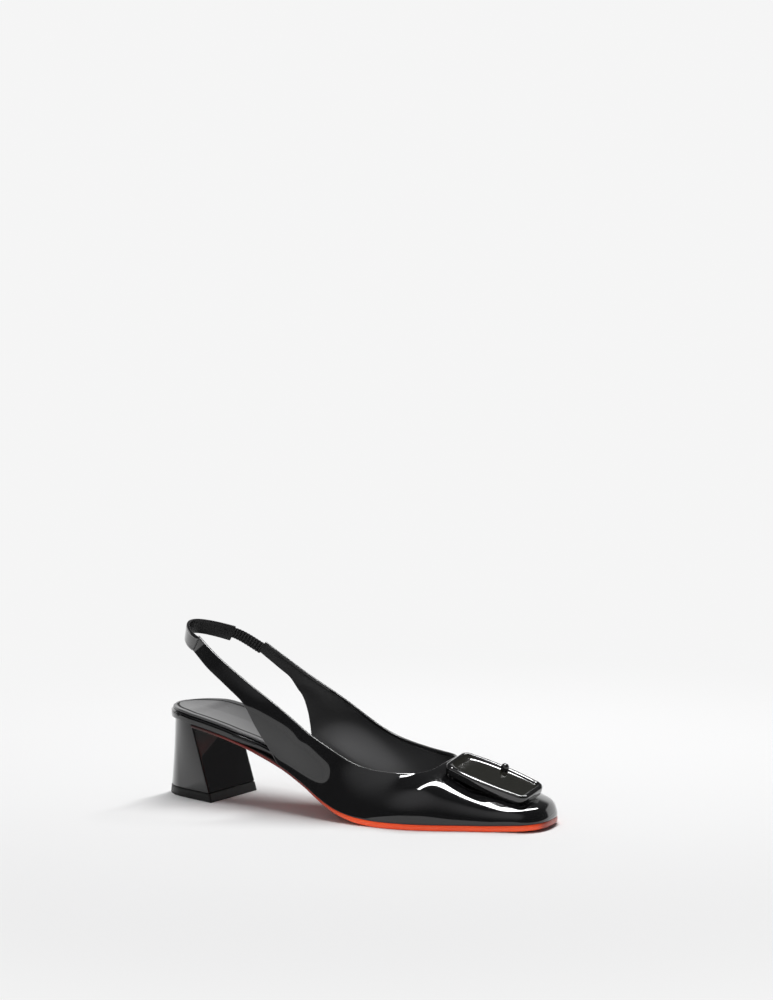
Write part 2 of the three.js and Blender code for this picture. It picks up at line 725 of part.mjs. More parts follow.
// Room that the top of the vamp takes below the buckle, a clearance larger than the vamp: its
// ribs within roomReach of the toe, from the share roomFoot of each rib to the throat.
const underDepth = 10;
const roomReach = 0.62;
const roomFoot = 0.4;
const topSteps = steps(8).map((t) => lerp(roomFoot, 1, t));
const roomRibs = steps(28).map((t) => lerp(-roomReach, roomReach, t));
function vampRoom() {
  return loft(roomRibs.map((u) => {
    const skin = topSteps.map((v) => wallPoint(u, v, -clearance));
    const floor = skin.map((point) => point.clone().setZ(point.z - underDepth));
    return [...skin, ...floor.reverse()];
  }));
}

// Point of the vamp's crest at an x, found by halving the part of the toe's rib above its turn.
const crestFoot = 0.2;
const halvings = 40;
function crestAt(x) {
  let [low, high] = [crestFoot, 1];
  for (let i = 0; i < halvings; i += 1) {
    const middle = (low + high) / 2;
    if (outer(0, middle).x > x) low = middle;
    else high = middle;
  }
  return outer(0, low);
}

// The buckle lies along the crest of the vamp, rolled with it.
function buckleSeat() {
  const start = buckleBackShare * footLength;
  const back = crestAt(start);
  const reach = buckleLength * Math.cos(Math.atan2(vampHeight, footLength - start) / 2);
  const front = crestAt(start + reach);
  const along = front.clone().sub(back).normalize();
  const sideways = new THREE.Vector3(0, 0, 1).cross(along).normalize();
  const centre = back.clone().lerp(front, 0.5).addScaledVector(sideways, buckleAside);
  const rolled = sideways.applyAxisAngle(along, degToRad(buckleRoll));
  const up = along.clone().cross(rolled);
  return new THREE.Matrix4().makeBasis(along, rolled, up).setPosition(centre);
}
function buckleShape(inset, Kind) {
  const [l, w] = [buckleLength / 2 - inset, buckleWidth / 2 - inset];
  const r = Math.max(buckleCorner - inset, buckleBevel);
  const path = new Kind();
  path.moveTo(r - l, -w);
  path.quadraticCurveTo(0, -w - 2 * buckleBow, l - r, -w);
  path.absarc(l - r, r - w, r, -quarterTurn, 0);
  path.absarc(l - r, w - r, r, 0, quarterTurn);
  path.quadraticCurveTo(0, w + 2 * buckleBow, r - l, w);
  path.absarc(r - l, w - r, r, quarterTurn, 2 * quarterTurn);
  path.absarc(r - l, r - w, r, 2 * quarterTurn, 3 * quarterTurn);
  return path;
}
function bevelled(shape, bottom, top, bevel) {
  return new THREE.ExtrudeGeometry(shape, {
    depth: top - bottom - 2 * bevel,
    bevelThickness: bevel,
    bevelSize: bevel,
    bevelOffset: -bevel,
    bevelSegments: 2,
    curveSegments: 6,
  }).translate(0, 0, bottom + bevel);
}
const seat = buckleSeat();
const room = toSolid(vampRoom());
const seated = (geometry) => toGeometry(toSolid(geometry.applyMatrix4(seat)).subtract(room));
function buckleFrame() {
  const shape = buckleShape(0, THREE.Shape);
  shape.holes.push(buckleShape(buckleBar, THREE.Path));
  return seated(bevelled(shape, 0, buckleHeight, buckleBevel));
}
function bucklePlate() {
  const shape = buckleShape(buckleBar + clearance, THREE.Shape);
  const top = buckleHeight - plateRecess;
  return seated(bevelled(shape, top - plateThickness, top, plateThickness / 4));
}
function bucklePin() {
  const radius = pinDiameter / 2;
  const profile = pinProfile.map(({ out, up }) => new THREE.Vector2(out * radius, up * pinHeight));
  const bar = buckleWidth / 2 + buckleBow - buckleBar / 2;
  return new THREE.LatheGeometry(profile, 24)
    .rotateX(quarterTurn)
    .translate(0, bar, buckleHeight + clearance)
    .applyMatrix4(seat);
}

const patent = { color: 0x0b0b0c, roughness: 0.06, metalness: 0 };
const pieces = {
  outsole: [outsole, { color: 0xf4582e, roughness: 0.35, metalness: 0 }],
  insole_board: [insoleBoard, patent],
  sock_lining: [sockLining, { color: 0x5c5c5c, roughness: 0.35, metalness: 0 }],
  heel_block: [heelBlock, patent],
  top_lift: [topLift, { color: 0x1b1b1b, roughness: 0.5, metalness: 0 }],
  upper: [upper, patent],
  back_strap: [backStrap, patent],
  elastic_gusset: [elasticGusset, { color: 0x121212, roughness: 0.7, metalness: 0 }],
  buckle_frame: [buckleFrame, patent],
  buckle_plate: [bucklePlate, { color: 0x14140f, roughness: 0.15, metalness: 0 }],
  buckle_pin: [bucklePin, patent],
};

const shoe = new THREE.Group();
for (const [name, [make, finish]] of Object.entries(pieces)) {
  const mesh = new THREE.Mesh(make(), new THREE.MeshStandardMaterial(finish));
  mesh.name = name;
  shoe.add(mesh);
}
const size = new THREE.Box3().setFromObject(shoe, true);
const middle = size.getCenter(new THREE.Vector3());
shoe.position.set(-middle.x, -middle.y, -size.min.z);

export default new THREE.Group().add(shoe);
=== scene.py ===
"""A black patent slingback pump for the right foot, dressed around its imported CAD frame.

Metres, +X towards the toe, +Y towards the inner (medial) side of the foot, +Z up, origin on
the floor. Each piece is one surface, worked out from the sizes of the shoe's last.
"""
import math

import bpy
import numpy as np
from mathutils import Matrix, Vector


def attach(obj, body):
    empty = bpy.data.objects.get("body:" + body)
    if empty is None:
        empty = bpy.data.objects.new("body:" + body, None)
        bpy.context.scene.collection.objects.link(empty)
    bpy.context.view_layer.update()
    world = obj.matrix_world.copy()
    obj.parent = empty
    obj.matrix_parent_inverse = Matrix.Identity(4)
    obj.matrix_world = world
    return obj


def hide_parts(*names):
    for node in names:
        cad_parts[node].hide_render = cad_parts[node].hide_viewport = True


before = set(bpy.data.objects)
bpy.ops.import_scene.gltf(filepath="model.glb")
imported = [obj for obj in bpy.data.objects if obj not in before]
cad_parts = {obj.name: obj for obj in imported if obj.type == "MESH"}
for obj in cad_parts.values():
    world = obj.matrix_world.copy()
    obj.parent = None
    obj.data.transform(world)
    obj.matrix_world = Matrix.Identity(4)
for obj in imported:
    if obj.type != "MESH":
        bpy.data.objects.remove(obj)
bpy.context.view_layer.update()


# Camera
# A long lens on the outer side of the shoe, a little above it and towards the toe.
camera = bpy.data.cameras.new("camera")
camera.sensor_fit = "VERTICAL"
camera.sensor_height = 36
camera.lens = 164
eye = bpy.data.objects.new("camera", camera)
bpy.context.collection.objects.link(eye)
eye.location = (1.37062, -2.17175, 0.49461)
eye.rotation_euler = (math.radians(90 - 7.011), 0, math.radians(31.853))
bpy.context.scene.camera = eye
bpy.context.scene.view_settings.view_transform = "Standard"


# Outsole
# Thin leather sole with a painted edge, from the heel's breast to the toe. It is glued under
# the lasted upper, thin at the waist and thicker in the forepart.
FOOT = 0.244
BALL = 0.075
SEAT = 0.0515
SWING_START = 0.060
SWING_RADIUS = (FOOT - SWING_START) / math.radians(9.1)
ORIGIN = np.array([-0.119958, -0.002473, 0])
HEEL_ROUND = 0.027
TOE_ROUND = 0.015
TOE_SQUARENESS = 2.6
HEEL_WAY = 0.16
TOE_WAY = 0.84
CLEARANCE = 0.0003
WAIST_SOLE = 0.0015
FOREPART_SOLE = 0.0033
SOLE_BACK = 0.0261
EDGE_ROUND = 0.0007
SPRING_START = 0.85
TOE_SPRING = 0.0018
BED_DIP = 0.0012
SOLE_STEPS = 420
OUTLINE = np.array([
    # share of the length, outer half width and inner half width as shares of the ball
    [0.000, 0.345, 0.340],
    [0.108, 0.352, 0.345],
    [0.246, 0.362, 0.322],
    [0.325, 0.394, 0.286],
    [0.413, 0.438, 0.266],
    [0.492, 0.484, 0.300],
    [0.580, 0.526, 0.376],
    [0.659, 0.540, 0.443],
    [0.708, 0.526, 0.462],
    [0.748, 0.492, 0.464],
    [0.787, 0.447, 0.450],
    [0.826, 0.398, 0.421],
    [0.875, 0.343, 0.374],
    [0.915, 0.302, 0.330],
    [1.000, 0.252, 0.275],
])
TREAD = np.array([
    # share of the length, height of the sole's underside as a share of the seat's
    [0.000, 0.880],
    [0.069, 0.870],
    [0.108, 0.842],
    [0.187, 0.768],
    [0.246, 0.697],
    [0.305, 0.612],
    [0.369, 0.503],
    [0.433, 0.350],
    [0.492, 0.175],
    [0.536, 0.078],
    [0.590, 0.018],
    [0.639, 0.000],
    [1.000, 0.000],
])


def smooth(x, y, at):
    """Cubic Hermite through the points x, y, with harmonic mean slopes, so it never overshoots."""
    x, y, at = np.asarray(x, float), np.asarray(y, float), np.asarray(at, float)
    slope = np.diff(y) / np.diff(x)
    tangent = np.empty_like(y)
    tangent[[0, -1]] = slope[[0, -1]]
    product = slope[:-1] * slope[1:]
    total = slope[:-1] + slope[1:]
    safe = np.where(product > 0, total, 1)
    tangent[1:-1] = np.where(product > 0, 2 * product / safe, 0)
    at = np.clip(at, x[0], x[-1])
    i = np.clip(np.searchsorted(x, at, side="right") - 1, 0, len(x) - 2)
    span = x[i + 1] - x[i]
    t = (at - x[i]) / span
    rise = (2 * t**3 - 3 * t**2 + 1) * y[i] + (3 * t**2 - 2 * t**3) * y[i + 1]
    bend = (t**3 - 2 * t**2 + t) * tangent[i] + (t**3 - t**2) * tangent[i + 1]
    return rise + bend * span


def step(value, low, high):
    """Smooth step from 0 at low to 1 at high."""
    t = np.clip((value - low) / (high - low), 0, 1)
    return t * t * (3 - 2 * t)


def place(station, across, up):
    """Point of the last: station on the centre line, which swings inwards, offset and height."""
    turn = np.maximum(0, station - SWING_START) / SWING_RADIUS
    x = np.minimum(station, SWING_START) + (SWING_RADIUS - across) * np.sin(turn)
    y = SWING_RADIUS - (SWING_RADIUS - across) * np.cos(turn)
    return np.stack(np.broadcast_arrays(x, y, up), axis=-1) + ORIGIN


def outline(way, side, inset):
    """Station and offset of the sole's outline, from 0 at the heel's back to 1 at the toe."""
    heel = HEEL_ROUND - inset
    toe_start = FOOT - TOE_ROUND
    turn = np.clip(way / HEEL_WAY, 0, 1) * math.pi / 2
    curl = np.clip((way - TOE_WAY) / (1 - TOE_WAY), 0, 1) * math.pi / 2
    power = 2 / TOE_SQUARENESS
    middle = HEEL_ROUND + (toe_start - HEEL_ROUND) * (way - HEEL_WAY) / (TOE_WAY - HEEL_WAY)
    toe = toe_start + (TOE_ROUND - inset) * np.sin(curl) ** power
    back = HEEL_ROUND - heel * np.cos(turn)
    station = np.where(way < HEEL_WAY, back, np.where(way > TOE_WAY, toe, middle))
    narrow = np.sin(turn) * np.maximum(0, np.cos(curl)) ** power
    outer, inner = [smooth(OUTLINE[:, 0], OUTLINE[:, k], station / FOOT) for k in (1, 2)]
    half = np.where(side < 0, outer, inner) * BALL - inset
    return station, side * half * narrow


def way_at(station):
    """Way round the outline of a station between the heel's and the toe's curve."""
    share = (station - HEEL_ROUND) / (FOOT - TOE_ROUND - HEEL_ROUND)
    return HEEL_WAY + (TOE_WAY - HEEL_WAY) * share


def tread(station):
    """Height of the sole's underside, with the toe's spring."""
    spring = np.maximum(0, station / FOOT - SPRING_START) / (1 - SPRING_START)
    return smooth(TREAD[:, 0], TREAD[:, 1], station / FOOT) * SEAT + TOE_SPRING * spring**2


def feather(station):
    """Height of the sole's top, where the upper stands: its underside and its thickness."""
    thicker = (FOREPART_SOLE - WAIST_SOLE) * step(station / FOOT, 0.43, 0.63)
    return tread(station) + WAIST_SOLE + thicker


def layer(t, w, start, inset, bottom, top, rows):
    """Points of a layer of the sole. t runs from the heel to the toe and w, from -1 to 1, round
    the section: out of the half width, set in from the edge, up the thickness, dip of the bed."""
    side = np.where(w < 0, -1.0, 1.0)
    at = np.linspace(0, 1, len(rows))
    share = np.abs(w)
    out, set_in, up, dip = [np.interp(share, at, column) for column in np.transpose(rows)]
    way = start + (1 - start) * t
    station, across = outline(way, side, inset(outline(way, side, 0.0)[0]) + set_in)
    fade = step(way, 0, HEEL_WAY) * (1 - step(station / FOOT, 0.28, 0.52))
    level = bottom(station) + (top(station) - bottom(station)) * up
    return place(station, across * out, level - BED_DIP * dip * (1 - out**2) * fade)


def arc(centre, radius, start, end, count):
    """Rows on a circular arc, in a plane of two lengths, from start to end degrees."""
    angle = np.radians(np.linspace(start, end, count))
    return [(centre[0] + radius * math.cos(a), centre[1] + radius * math.sin(a)) for a in angle]


def surface(name, points, closed_u=False, closed_v=False, uv=None, sharp=40):
    """Mesh object from a grid of points, its quads facing out by the sign of its volume."""
    nu, nv = points.shape[:2]
    i = np.arange(nu if closed_u else nu - 1)
    j = np.arange(nv if closed_v else nv - 1)
    i, j = np.meshgrid(i, j, indexing="ij")
    i2, j2 = (i + 1) % nu, (j + 1) % nv
    quads = np.stack([i * nv + j, i2 * nv + j, i2 * nv + j2, i * nv + j2], axis=-1).reshape(-1, 4)
    flat = points.reshape(-1, 3)
    a, b, c, d = [flat[quads[:, k]] for k in range(4)]
    volume = np.sum(np.cross(c - a, d - b) * (a + b + c + d))
    if volume < 0:
        quads = quads[:, ::-1]
    mesh = bpy.data.meshes.new(name)
    mesh.from_pydata(flat.tolist(), [], quads.tolist())
    if uv is not None:
        layer_uv = mesh.uv_layers.new(name="run")
        loops = np.empty(len(mesh.loops), np.int64)
        mesh.loops.foreach_get("vertex_index", loops)
        layer_uv.data.foreach_set("uv", uv.reshape(-1, 2)[loops].astype(np.float32).ravel())
    mesh.polygons.foreach_set("use_smooth", np.ones(len(mesh.polygons), bool))
    mesh.set_sharp_from_angle(angle=math.radians(sharp))
    piece = bpy.data.objects.new(name, mesh)
    bpy.context.collection.objects.link(piece)
    return piece


class Wire:
    """A value on a node of a material. Adding to it, subtracting, multiplying and taking its
    absolute value add Math nodes to its tree."""

    def __init__(self, tree, socket):
        """Keeps the tree and the output socket that gives the value."""
        self.tree = tree
        self.socket = socket

    def node(self, kind, settings=None, output=0, **inputs):
        """Adds another kind of node, with its settings and named inputs, and returns an output."""
        node = self.tree.nodes.new(kind)
        for key, value in (settings or {}).items():
            setattr(node, key, value)
        for key, value in inputs.items():
            self.tree_set(node.inputs[key.replace("_", " ")], value)
        return Wire(self.tree, node.outputs[output])

    def tree_set(self, socket, value):
        """Links a wire to a socket, or sets the socket's own value."""
        if isinstance(value, Wire):
            self.tree.links.new(value.socket, socket)
        else:
            socket.default_value = value

    def maths(self, operation, other=0.0):
        """Adds a Math node on this value and another, and returns its output."""
        node = self.tree.nodes.new("ShaderNodeMath")
        node.operation = operation
        self.tree_set(node.inputs[0], self)
        self.tree_set(node.inputs[1], other)
        return Wire(self.tree, node.outputs[0])

    def __add__(self, other):
        return self.maths("ADD", other)

    def __sub__(self, other):
        return self.maths("SUBTRACT", other)

    def __mul__(self, other):
        return self.maths("MULTIPLY", other)

    def __rsub__(self, other):
        return self * -1.0 + other

    def __abs__(self):
        return self.maths("ABSOLUTE")

    def between(self, low, high, start=0.0, end=1.0):
        """Smooth step of the value between low and high, from start to end."""
        names = {"Value": self, "From_Min": low, "From_Max": high, "To_Min": start, "To_Max": end}
        return self.node("ShaderNodeMapRange", {"interpolation_type": "SMOOTHSTEP"}, **names)

    def mix(self, first, second):
        """Colour that goes from first to second as the value goes from 0 to 1."""
        node = self.tree.nodes.new("ShaderNodeMix")
        node.data_type = "RGBA"
        self.tree_set(node.inputs["Factor"], self)
        for socket, colour in zip(node.inputs[6:8], (first, second)):
            self.tree_set(socket, colour if isinstance(colour, Wire) else (*colour, 1))
        return Wire(self.tree, node.outputs[2])


def material(name, colour, roughness, **sockets):
    """Principled material, with its constants on its own sockets. Returns it with its shader
    and wires of its coordinates: x, y, z on the object, and u, v in metres along its run."""
    made = bpy.data.materials.new(name)
    made.use_nodes = True
    tree = made.node_tree
    shader = tree.nodes["Principled BSDF"]
    shader.inputs["Base Color"].default_value = (*colour, 1)
    shader.inputs["Roughness"].default_value = roughness
    for key, value in sockets.items():
        shader.inputs[key.replace("_", " ")].default_value = value
    place_node = tree.nodes.new("ShaderNodeTexCoord")
    run_node = tree.nodes.new("ShaderNodeUVMap")
    run_node.uv_map = "run"
    spot = Wire(tree, place_node.outputs["Object"])
    wires = {"spot": spot}
    for source, names in ((spot, "xyz"), (Wire(tree, run_node.outputs[0]), "uv")):
        split = tree.nodes.new("ShaderNodeSeparateXYZ")
        tree.links.new(source.socket, split.inputs[0])
        for k, key in enumerate(names):
            wires[key] = Wire(tree, split.outputs[k])
    return made, shader, wires


def feed(shader, name, value):
    """Links a wire to one of the shader's inputs."""
    value.tree.links.new(value.socket, shader.inputs[name])


def bump(shader, height, distance):
    """Feeds a height between 0 and 1, that distance deep in metres, to the shader's normal."""
    feed(shader, "Normal", height.node("ShaderNodeBump", Height=height, Distance=distance))


def noise(wires, scale, detail=3.0, roughness=0.5):
    """Noise between 0 and 1 on the object, with that many spots to a metre."""
    names = {"Vector": wires["spot"], "Scale": scale, "Detail": detail, "Roughness": roughness}
    return wires["spot"].node("ShaderNodeTexNoise", **names)


def section_grid(rows):
    """Grid of t along a layer of the sole and w round its section, as layer takes them."""
    across = np.linspace(-1, 1, 2 * len(rows))
    return np.meshgrid(np.linspace(0, 1, SOLE_STEPS), across, indexing="ij")


lower_edge = arc((0, EDGE_ROUND), EDGE_ROUND, -90, 0, 7)
sole_rows = [(0, 0, 0, 0), (0.5, 0, 0, 0), (0.9, 0, 0, 0)]
sole_rows += [(1, EDGE_ROUND - dx, dz / FOREPART_SOLE, 0) for dx, dz in lower_edge]
sole_rows += [(1, 0, 0.5, 0), (1, 0, 0.8, 0), (1, 0.0002, 0.97, 0), (1, 0.0005, 1, 0), (0, 0, 1, 0)]
t, w = section_grid(sole_rows)
sole_points = layer(t, w, way_at(SOLE_BACK), lambda s: 0, tread, feather, sole_rows)
outsole = surface("outsole_skin", sole_points, uv=np.stack([t * FOOT, np.abs(w)], axis=-1))
sole, sole_shader, at = material("sole_leather", (0.95, 0.10, 0.028), 0.34, Coat_Weight=0.25)
sole_shader.inputs["Coat Roughness"].default_value = 0.25
PAINT = (0.95, 0.110, 0.026)
LIGHT_PAINT = (0.99, 0.135, 0.034)
EDGE_PAINTED_LIGHT = (0.24, 0.010, 0.001)
# darker edge colour towards the waist, and at the toe's front a painted shade
DARK_EDGE_AND_TOE_SHADE = (0.18, 0.015, 0.008)
UNDERSIDE = (0.30, 0.022, 0.010)
HEEL_END = (0.035, 0.005, 0.004)
SOLE_TOP = (0.012, 0.012, 0.012)
grain = noise(at, 900, 4)
painted = noise(at, 60).between(0.3, 0.7).mix(PAINT, LIGHT_PAINT)
# u runs from the heel's breast to the toe, and v round the section: 0 in the middle of the
# underside, from 0.2 to 0.6 round the lower edge, 0.9 where the top starts
# 1 along the forepart's edge, falling towards the waist, and at the toe's front down to 0.2: a painted
# shade that darkens the edge and dims its glow there
forepart = at["u"].between(0.072, 0.118) * at["u"].between(0.216, 0.234, 1.0, 0.2)
top_side = at["v"].between(0.88, 0.93)
edge_tint = top_side.mix(forepart.mix(DARK_EDGE_AND_TOE_SHADE, painted), SOLE_TOP)
tint = at["v"].between(0.10, 0.20).mix(UNDERSIDE, edge_tint)
tint = at["u"].between(0.004, 0.030).mix(HEEL_END, tint)
edge_face = at["v"].between(0.35, 0.60) * (1 - top_side)
feed(sole_shader, "Base Color", tint)
# the forepart's lower edge glows a little: painted light that brightens the edge in the shade under
# the upper
feed(sole_shader, "Emission Color", (forepart * edge_face).mix((0, 0, 0), EDGE_PAINTED_LIGHT))
sole_shader.inputs["Emission Strength"].default_value = 1.0
feed(sole_shader, "Roughness", grain.between(0.2, 0.8, 0.28, 0.42))
bump(sole_shader, grain, 0.00004)
outsole.data.materials.append(sole)
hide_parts("outsole")
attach(outsole, "root")


# Insole board
# Fibre board covered with patent, with a wide band, a groove and a thin bead round its edge.
# It is flush with the outline at the seat and stands inside the lasted upper in front.
SEAT_BOARD = 0.0046
FOREPART_BOARD = 0.0022
BOARD_INSET = 0.0038


def board_bottom(station):
    """Height of the board's underside, a clearance above the sole."""
    return feather(station) + CLEARANCE


def board_top(station):
    """Height of the covered board's top, thick at the seat and thin in the forepart."""
    thinner = (SEAT_BOARD - FOREPART_BOARD) * step(station / FOOT, 0.34, 0.46)
    return board_bottom(station) + SEAT_BOARD - thinner


def board_inset(station):
    """How far the board stands inside the sole's outline."""
    return BOARD_INSET * step(station / FOOT, 0.22, 0.32)


board_rows = [(0, 0, 0, 0), (0.5, 0, 0, 0), (1, 0.0014, 0, 0), (1, 0.0006, 0, 0)]
board_rows += [(1, 0.0002, 0.03, 0), (1, 0, 0.10, 0), (1, 0, 0.40, 0), (1, 0, 0.60, 0)]
board_rows += [(1, 0.0002, 0.68, 0), (1, 0.0007, 0.70, 0), (1, 0.0008, 0.73, 0)]
board_rows += [(1, 0.0002, 0.75, 0), (1, 0, 0.79, 0), (1, 0, 0.84, 0), (1, 0.0002, 0.90, 0)]
board_rows += [(1, 0.0008, 0.93, 0), (1, 0.0009, 1, 0), (0.6, 0, 1, 1), (0, 0, 1, 1)]
t, w = section_grid(board_rows)
board_points = layer(t, w, 0, board_inset, board_bottom, board_top, board_rows)
board = surface("board_cover", board_points)


def patent(name, roughness=0.05, wave=0.00004, coat_ior=1.5):
    """Black patent: a clear coat over smooth black leather, with a faint wave in the gloss."""
    made, shader, wires = material(name, (0.005, 0.005, 0.0055), roughness, Coat_Weight=1.0)
    shader.inputs["Coat Roughness"].default_value = 0.015
    shader.inputs["Coat IOR"].default_value = coat_ior
    shader.inputs["Specular IOR Level"].default_value = 0.2
    haze = noise(wires, 240, 4)
    feed(shader, "Roughness", haze.between(0.3, 0.75, roughness, roughness * 2.2))
    bump(shader, noise(wires, 70, 2), wave)
    return made


board.data.materials.append(patent("board_patent"))
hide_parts("insole_board")
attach(board, "root")


# Sock lining
# Grey glazed leather sock on the board, with a rounded rim, a line pressed inside its edge and
# darkened with painted shade, and a shallow hollow for the heel.
SOCK_THICK = 0.0012
SOCK_INSET = 0.001
SOCK_ROUND = 0.0008
SOCK_GREY = (0.075, 0.075, 0.077)
CREASE_PAINTED_SHADE = (0.004, 0.004, 0.004)
CREASE_FROM_RIM = 0.0054


def sock_inset(station):
    """How far the sock stands inside the sole's outline."""
    return board_inset(station) + SOCK_INSET


def sock_bottom(station):
    """Height of the sock's underside, a clearance above the board."""
    return board_top(station) + CLEARANCE


def sock_top(station):
    """Height of the sock's top, one thickness above its underside."""
    return sock_bottom(station) + SOCK_THICK


sock_rim = arc((0, SOCK_ROUND / 2), SOCK_ROUND, -30, 90, 9)
sock_rows = [(0, 0, 0, 1), (0.6, 0, 0, 1), (0.97, 0, 0, 0.2), (1, 0.0003, 0, 0)]
sock_rows += [(1, SOCK_ROUND - dx, dz / SOCK_THICK, 0) for dx, dz in sock_rim]
sock_rows += [(1, 0.0018, 0.97, 0.3), (0.85, 0, 1, 1), (0.6, 0, 1, 1), (0.3, 0, 1, 1), (0, 0, 1, 1)]
t, w = section_grid(sock_rows)
sock_points = layer(t, w, 0, sock_inset, sock_bottom, sock_top, sock_rows)
rim_w = np.where(w < 0, -0.4, 0.4)
rim_points = layer(t, rim_w, 0, sock_inset, sock_bottom, sock_top, sock_rows)
rim_gap = np.linalg.norm(sock_points - rim_points, axis=-1)
sock = surface("sock_leather", sock_points, uv=np.stack([t * FOOT, rim_gap], axis=-1))
sock_skin, sock_shader, at = material("sock_glaze", SOCK_GREY, 0.32, Coat_Weight=0.4)
sock_shader.inputs["Coat Roughness"].default_value = 0.22
crease = abs(at["v"] - CREASE_FROM_RIM).between(0.0008, 0.0015, 1.0, 0.0)
grain = noise(at, 1400, 4)
# the pressed line is nearly black: painted shade in the crease
feed(sock_shader, "Base Color", crease.mix(SOCK_GREY, CREASE_PAINTED_SHADE))
feed(sock_shader, "Roughness", grain.between(0.2, 0.8, 0.26, 0.38) + crease * 0.5)
feed(sock_shader, "Coat Weight", crease.between(0.0, 1.0, 0.4, 0.0))
bump(sock_shader, grain * 0.12 - crease, 0.0003)
sock.data.materials.append(sock_skin)
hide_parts("sock_lining")
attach(sock, "root")


# Heel block
# Moulded block heel covered with patent, flared to the front, with a flat breast. Its cover
# meets the band under the seat and the top lift below in a fine seam.
BREAST_TOP = 0.0252
BREAST_FOOT = 0.0388
HEEL_BACK = -0.004
HEEL_WIDTH = 0.0486
HEEL_TUCK = 0.0022
HEEL_CURL = 0.36
BACK_WIDTH = 0.46
HEEL_HOLLOW = 1.25
LIFT = 0.0052
SEAM = 0.0003


def heel_skin(t, up_share, low, high=None, bevel=0.0):
    """Points of the heel. t runs round it from -2 to 2, 0 at the back, 1 at the breast's corner
    and 2 in the middle of the breast; up_share runs from low to high, or to the sole's top. Each
    point goes from its place under the seat to its place on the floor by a power of its depth."""
    side = np.where(t < 0, -1.0, 1.0)
    reach = np.abs(t)
    turn = np.minimum(1, reach)
    sweep = math.acos((HEEL_ROUND - BREAST_TOP) / (HEEL_ROUND - HEEL_TUCK))
    way = HEEL_WAY * turn * sweep / (math.pi / 2)
    seat_station, seat_across = outline(way, side, HEEL_TUCK)
    full = feather(seat_station)
    end = full if high is None else high
    up = low + (end - low) * up_share
    down = 1 - up / full
    along = 1 - np.cos(turn * math.pi / 2)
    curl = np.sqrt(1 - np.maximum(0, 1 - along / HEEL_CURL) ** 2)
    base_station = HEEL_BACK + (BREAST_FOOT - HEEL_BACK) * along
    base_across = side * HEEL_WIDTH * (BACK_WIDTH + (1 - BACK_WIDTH) * along) * curl / 2
    hollow = HEEL_HOLLOW - (HEEL_HOLLOW - 1) * along
    station = seat_station + (base_station - seat_station) * down**hollow
    across = seat_across + (base_across - seat_across) * down**HEEL_HOLLOW
    across = across * (2 - np.maximum(1, reach))
    drawn = bevel / (HEEL_WIDTH / 2)
    return place(station + (BREAST_FOOT / 2 - station) * drawn, across * (1 - drawn), up)


def rounded(points, reach):
    """Softens each closed ring of points by the weights of a bell that many points wide."""
    offsets = np.arange(-3 * reach, 3 * reach + 1)
    weights = np.exp(-0.5 * (offsets / reach) ** 2)
    shifted = [np.roll(points, -k, axis=1) * weight for k, weight in zip(offsets, weights)]
    return np.sum(shifted, axis=0) / weights.sum()


back_run = np.linspace(-1, 1, 321)[1:]
breast_run = np.linspace(1, 2, 60)[1:-1]
around = np.concatenate([np.linspace(-2, -1, 60), back_run, breast_run])
h, t = np.meshgrid(np.linspace(0, 1, 90), around, indexing="ij")
heel_points = rounded(heel_skin(t, h, LIFT + CLEARANCE), 2)
centre = heel_points.mean(axis=1, keepdims=True)
lips = [heel_points[:1] + (centre[:1] - heel_points[:1]) * share for share in (1.0, 0.03, 0.012)]
caps = [heel_points[-1:] + (centre[-1:] - heel_points[-1:]) * share for share in (0.012, 0.03, 1.0)]
heel_points[:1] += (0, 0, SEAM)
heel = surface("heel_cover", np.concatenate([*lips, heel_points, *caps]), closed_v=True)
heel.data.materials.append(patent("heel_patent", 0.06, 0.00008, 1.4))
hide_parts("heel_block")
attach(heel, "root")


# Top lift
# Dense black rubber top piece, nailed and glued under the heel, with a scuffed bottom edge.
levels = np.array([0, 0.0001, 0.0004, 0.0015, 0.0035, LIFT - 0.0003, LIFT])
bevels = np.array([0.0006, 0.0002, 0, 0, 0, 0, 0.0004])
flat = np.zeros((1, 1))
rings = [heel_skin(around[None], flat, level, level, bevel) for level, bevel in zip(levels, bevels)]
lift_points = rounded(np.concatenate(rings), 2)
centre = lift_points.mean(axis=1, keepdims=True)
ends = [centre[:1] + 0 * lift_points[:1], centre[-1:] + 0 * lift_points[-1:]]
lift = surface("top_piece", np.concatenate([ends[0], lift_points, ends[1]]), closed_v=True, sharp=50)
rubber, rubber_shader, at = material("lift_rubber", (0.008, 0.008, 0.008), 0.45, Coat_Weight=0.0)
rubber_shader.inputs["Specular IOR Level"].default_value = 0.25
scuff = noise(at, 1100, 5, 0.7)
layers = (at["z"] * 9000).maths("SINE")
feed(rubber_shader, "Roughness", scuff.between(0.3, 0.8, 0.36, 0.6))
bump(rubber_shader, scuff + layers * 0.1, 0.00006)
lift.data.materials.append(rubber)
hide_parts("top_lift")
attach(lift, "root")


# Upper
# One piece of patent on a leather lining: vamp, quarters and strap arms, pulled over the last
# and under the sole. Its top edge is folded and stitched inside.
COLLAR_HEIGHT = 0.0995
VAMP_HEIGHT = 0.033
WALL = 0.0016
FOLD = 0.0003
CROWN = 0.0015
STRAP_BACK = 0.0093
STRAP_ROUND = 0.022
STRAP_LEAN = 0.0016
ARM_FLARE = {-1: 0.0032, 1: 0.0}
# shares of the arm where its flare is full, where it fades and where it is gone
FLARE_SHARES = (0.14, 0.56, 0.86)
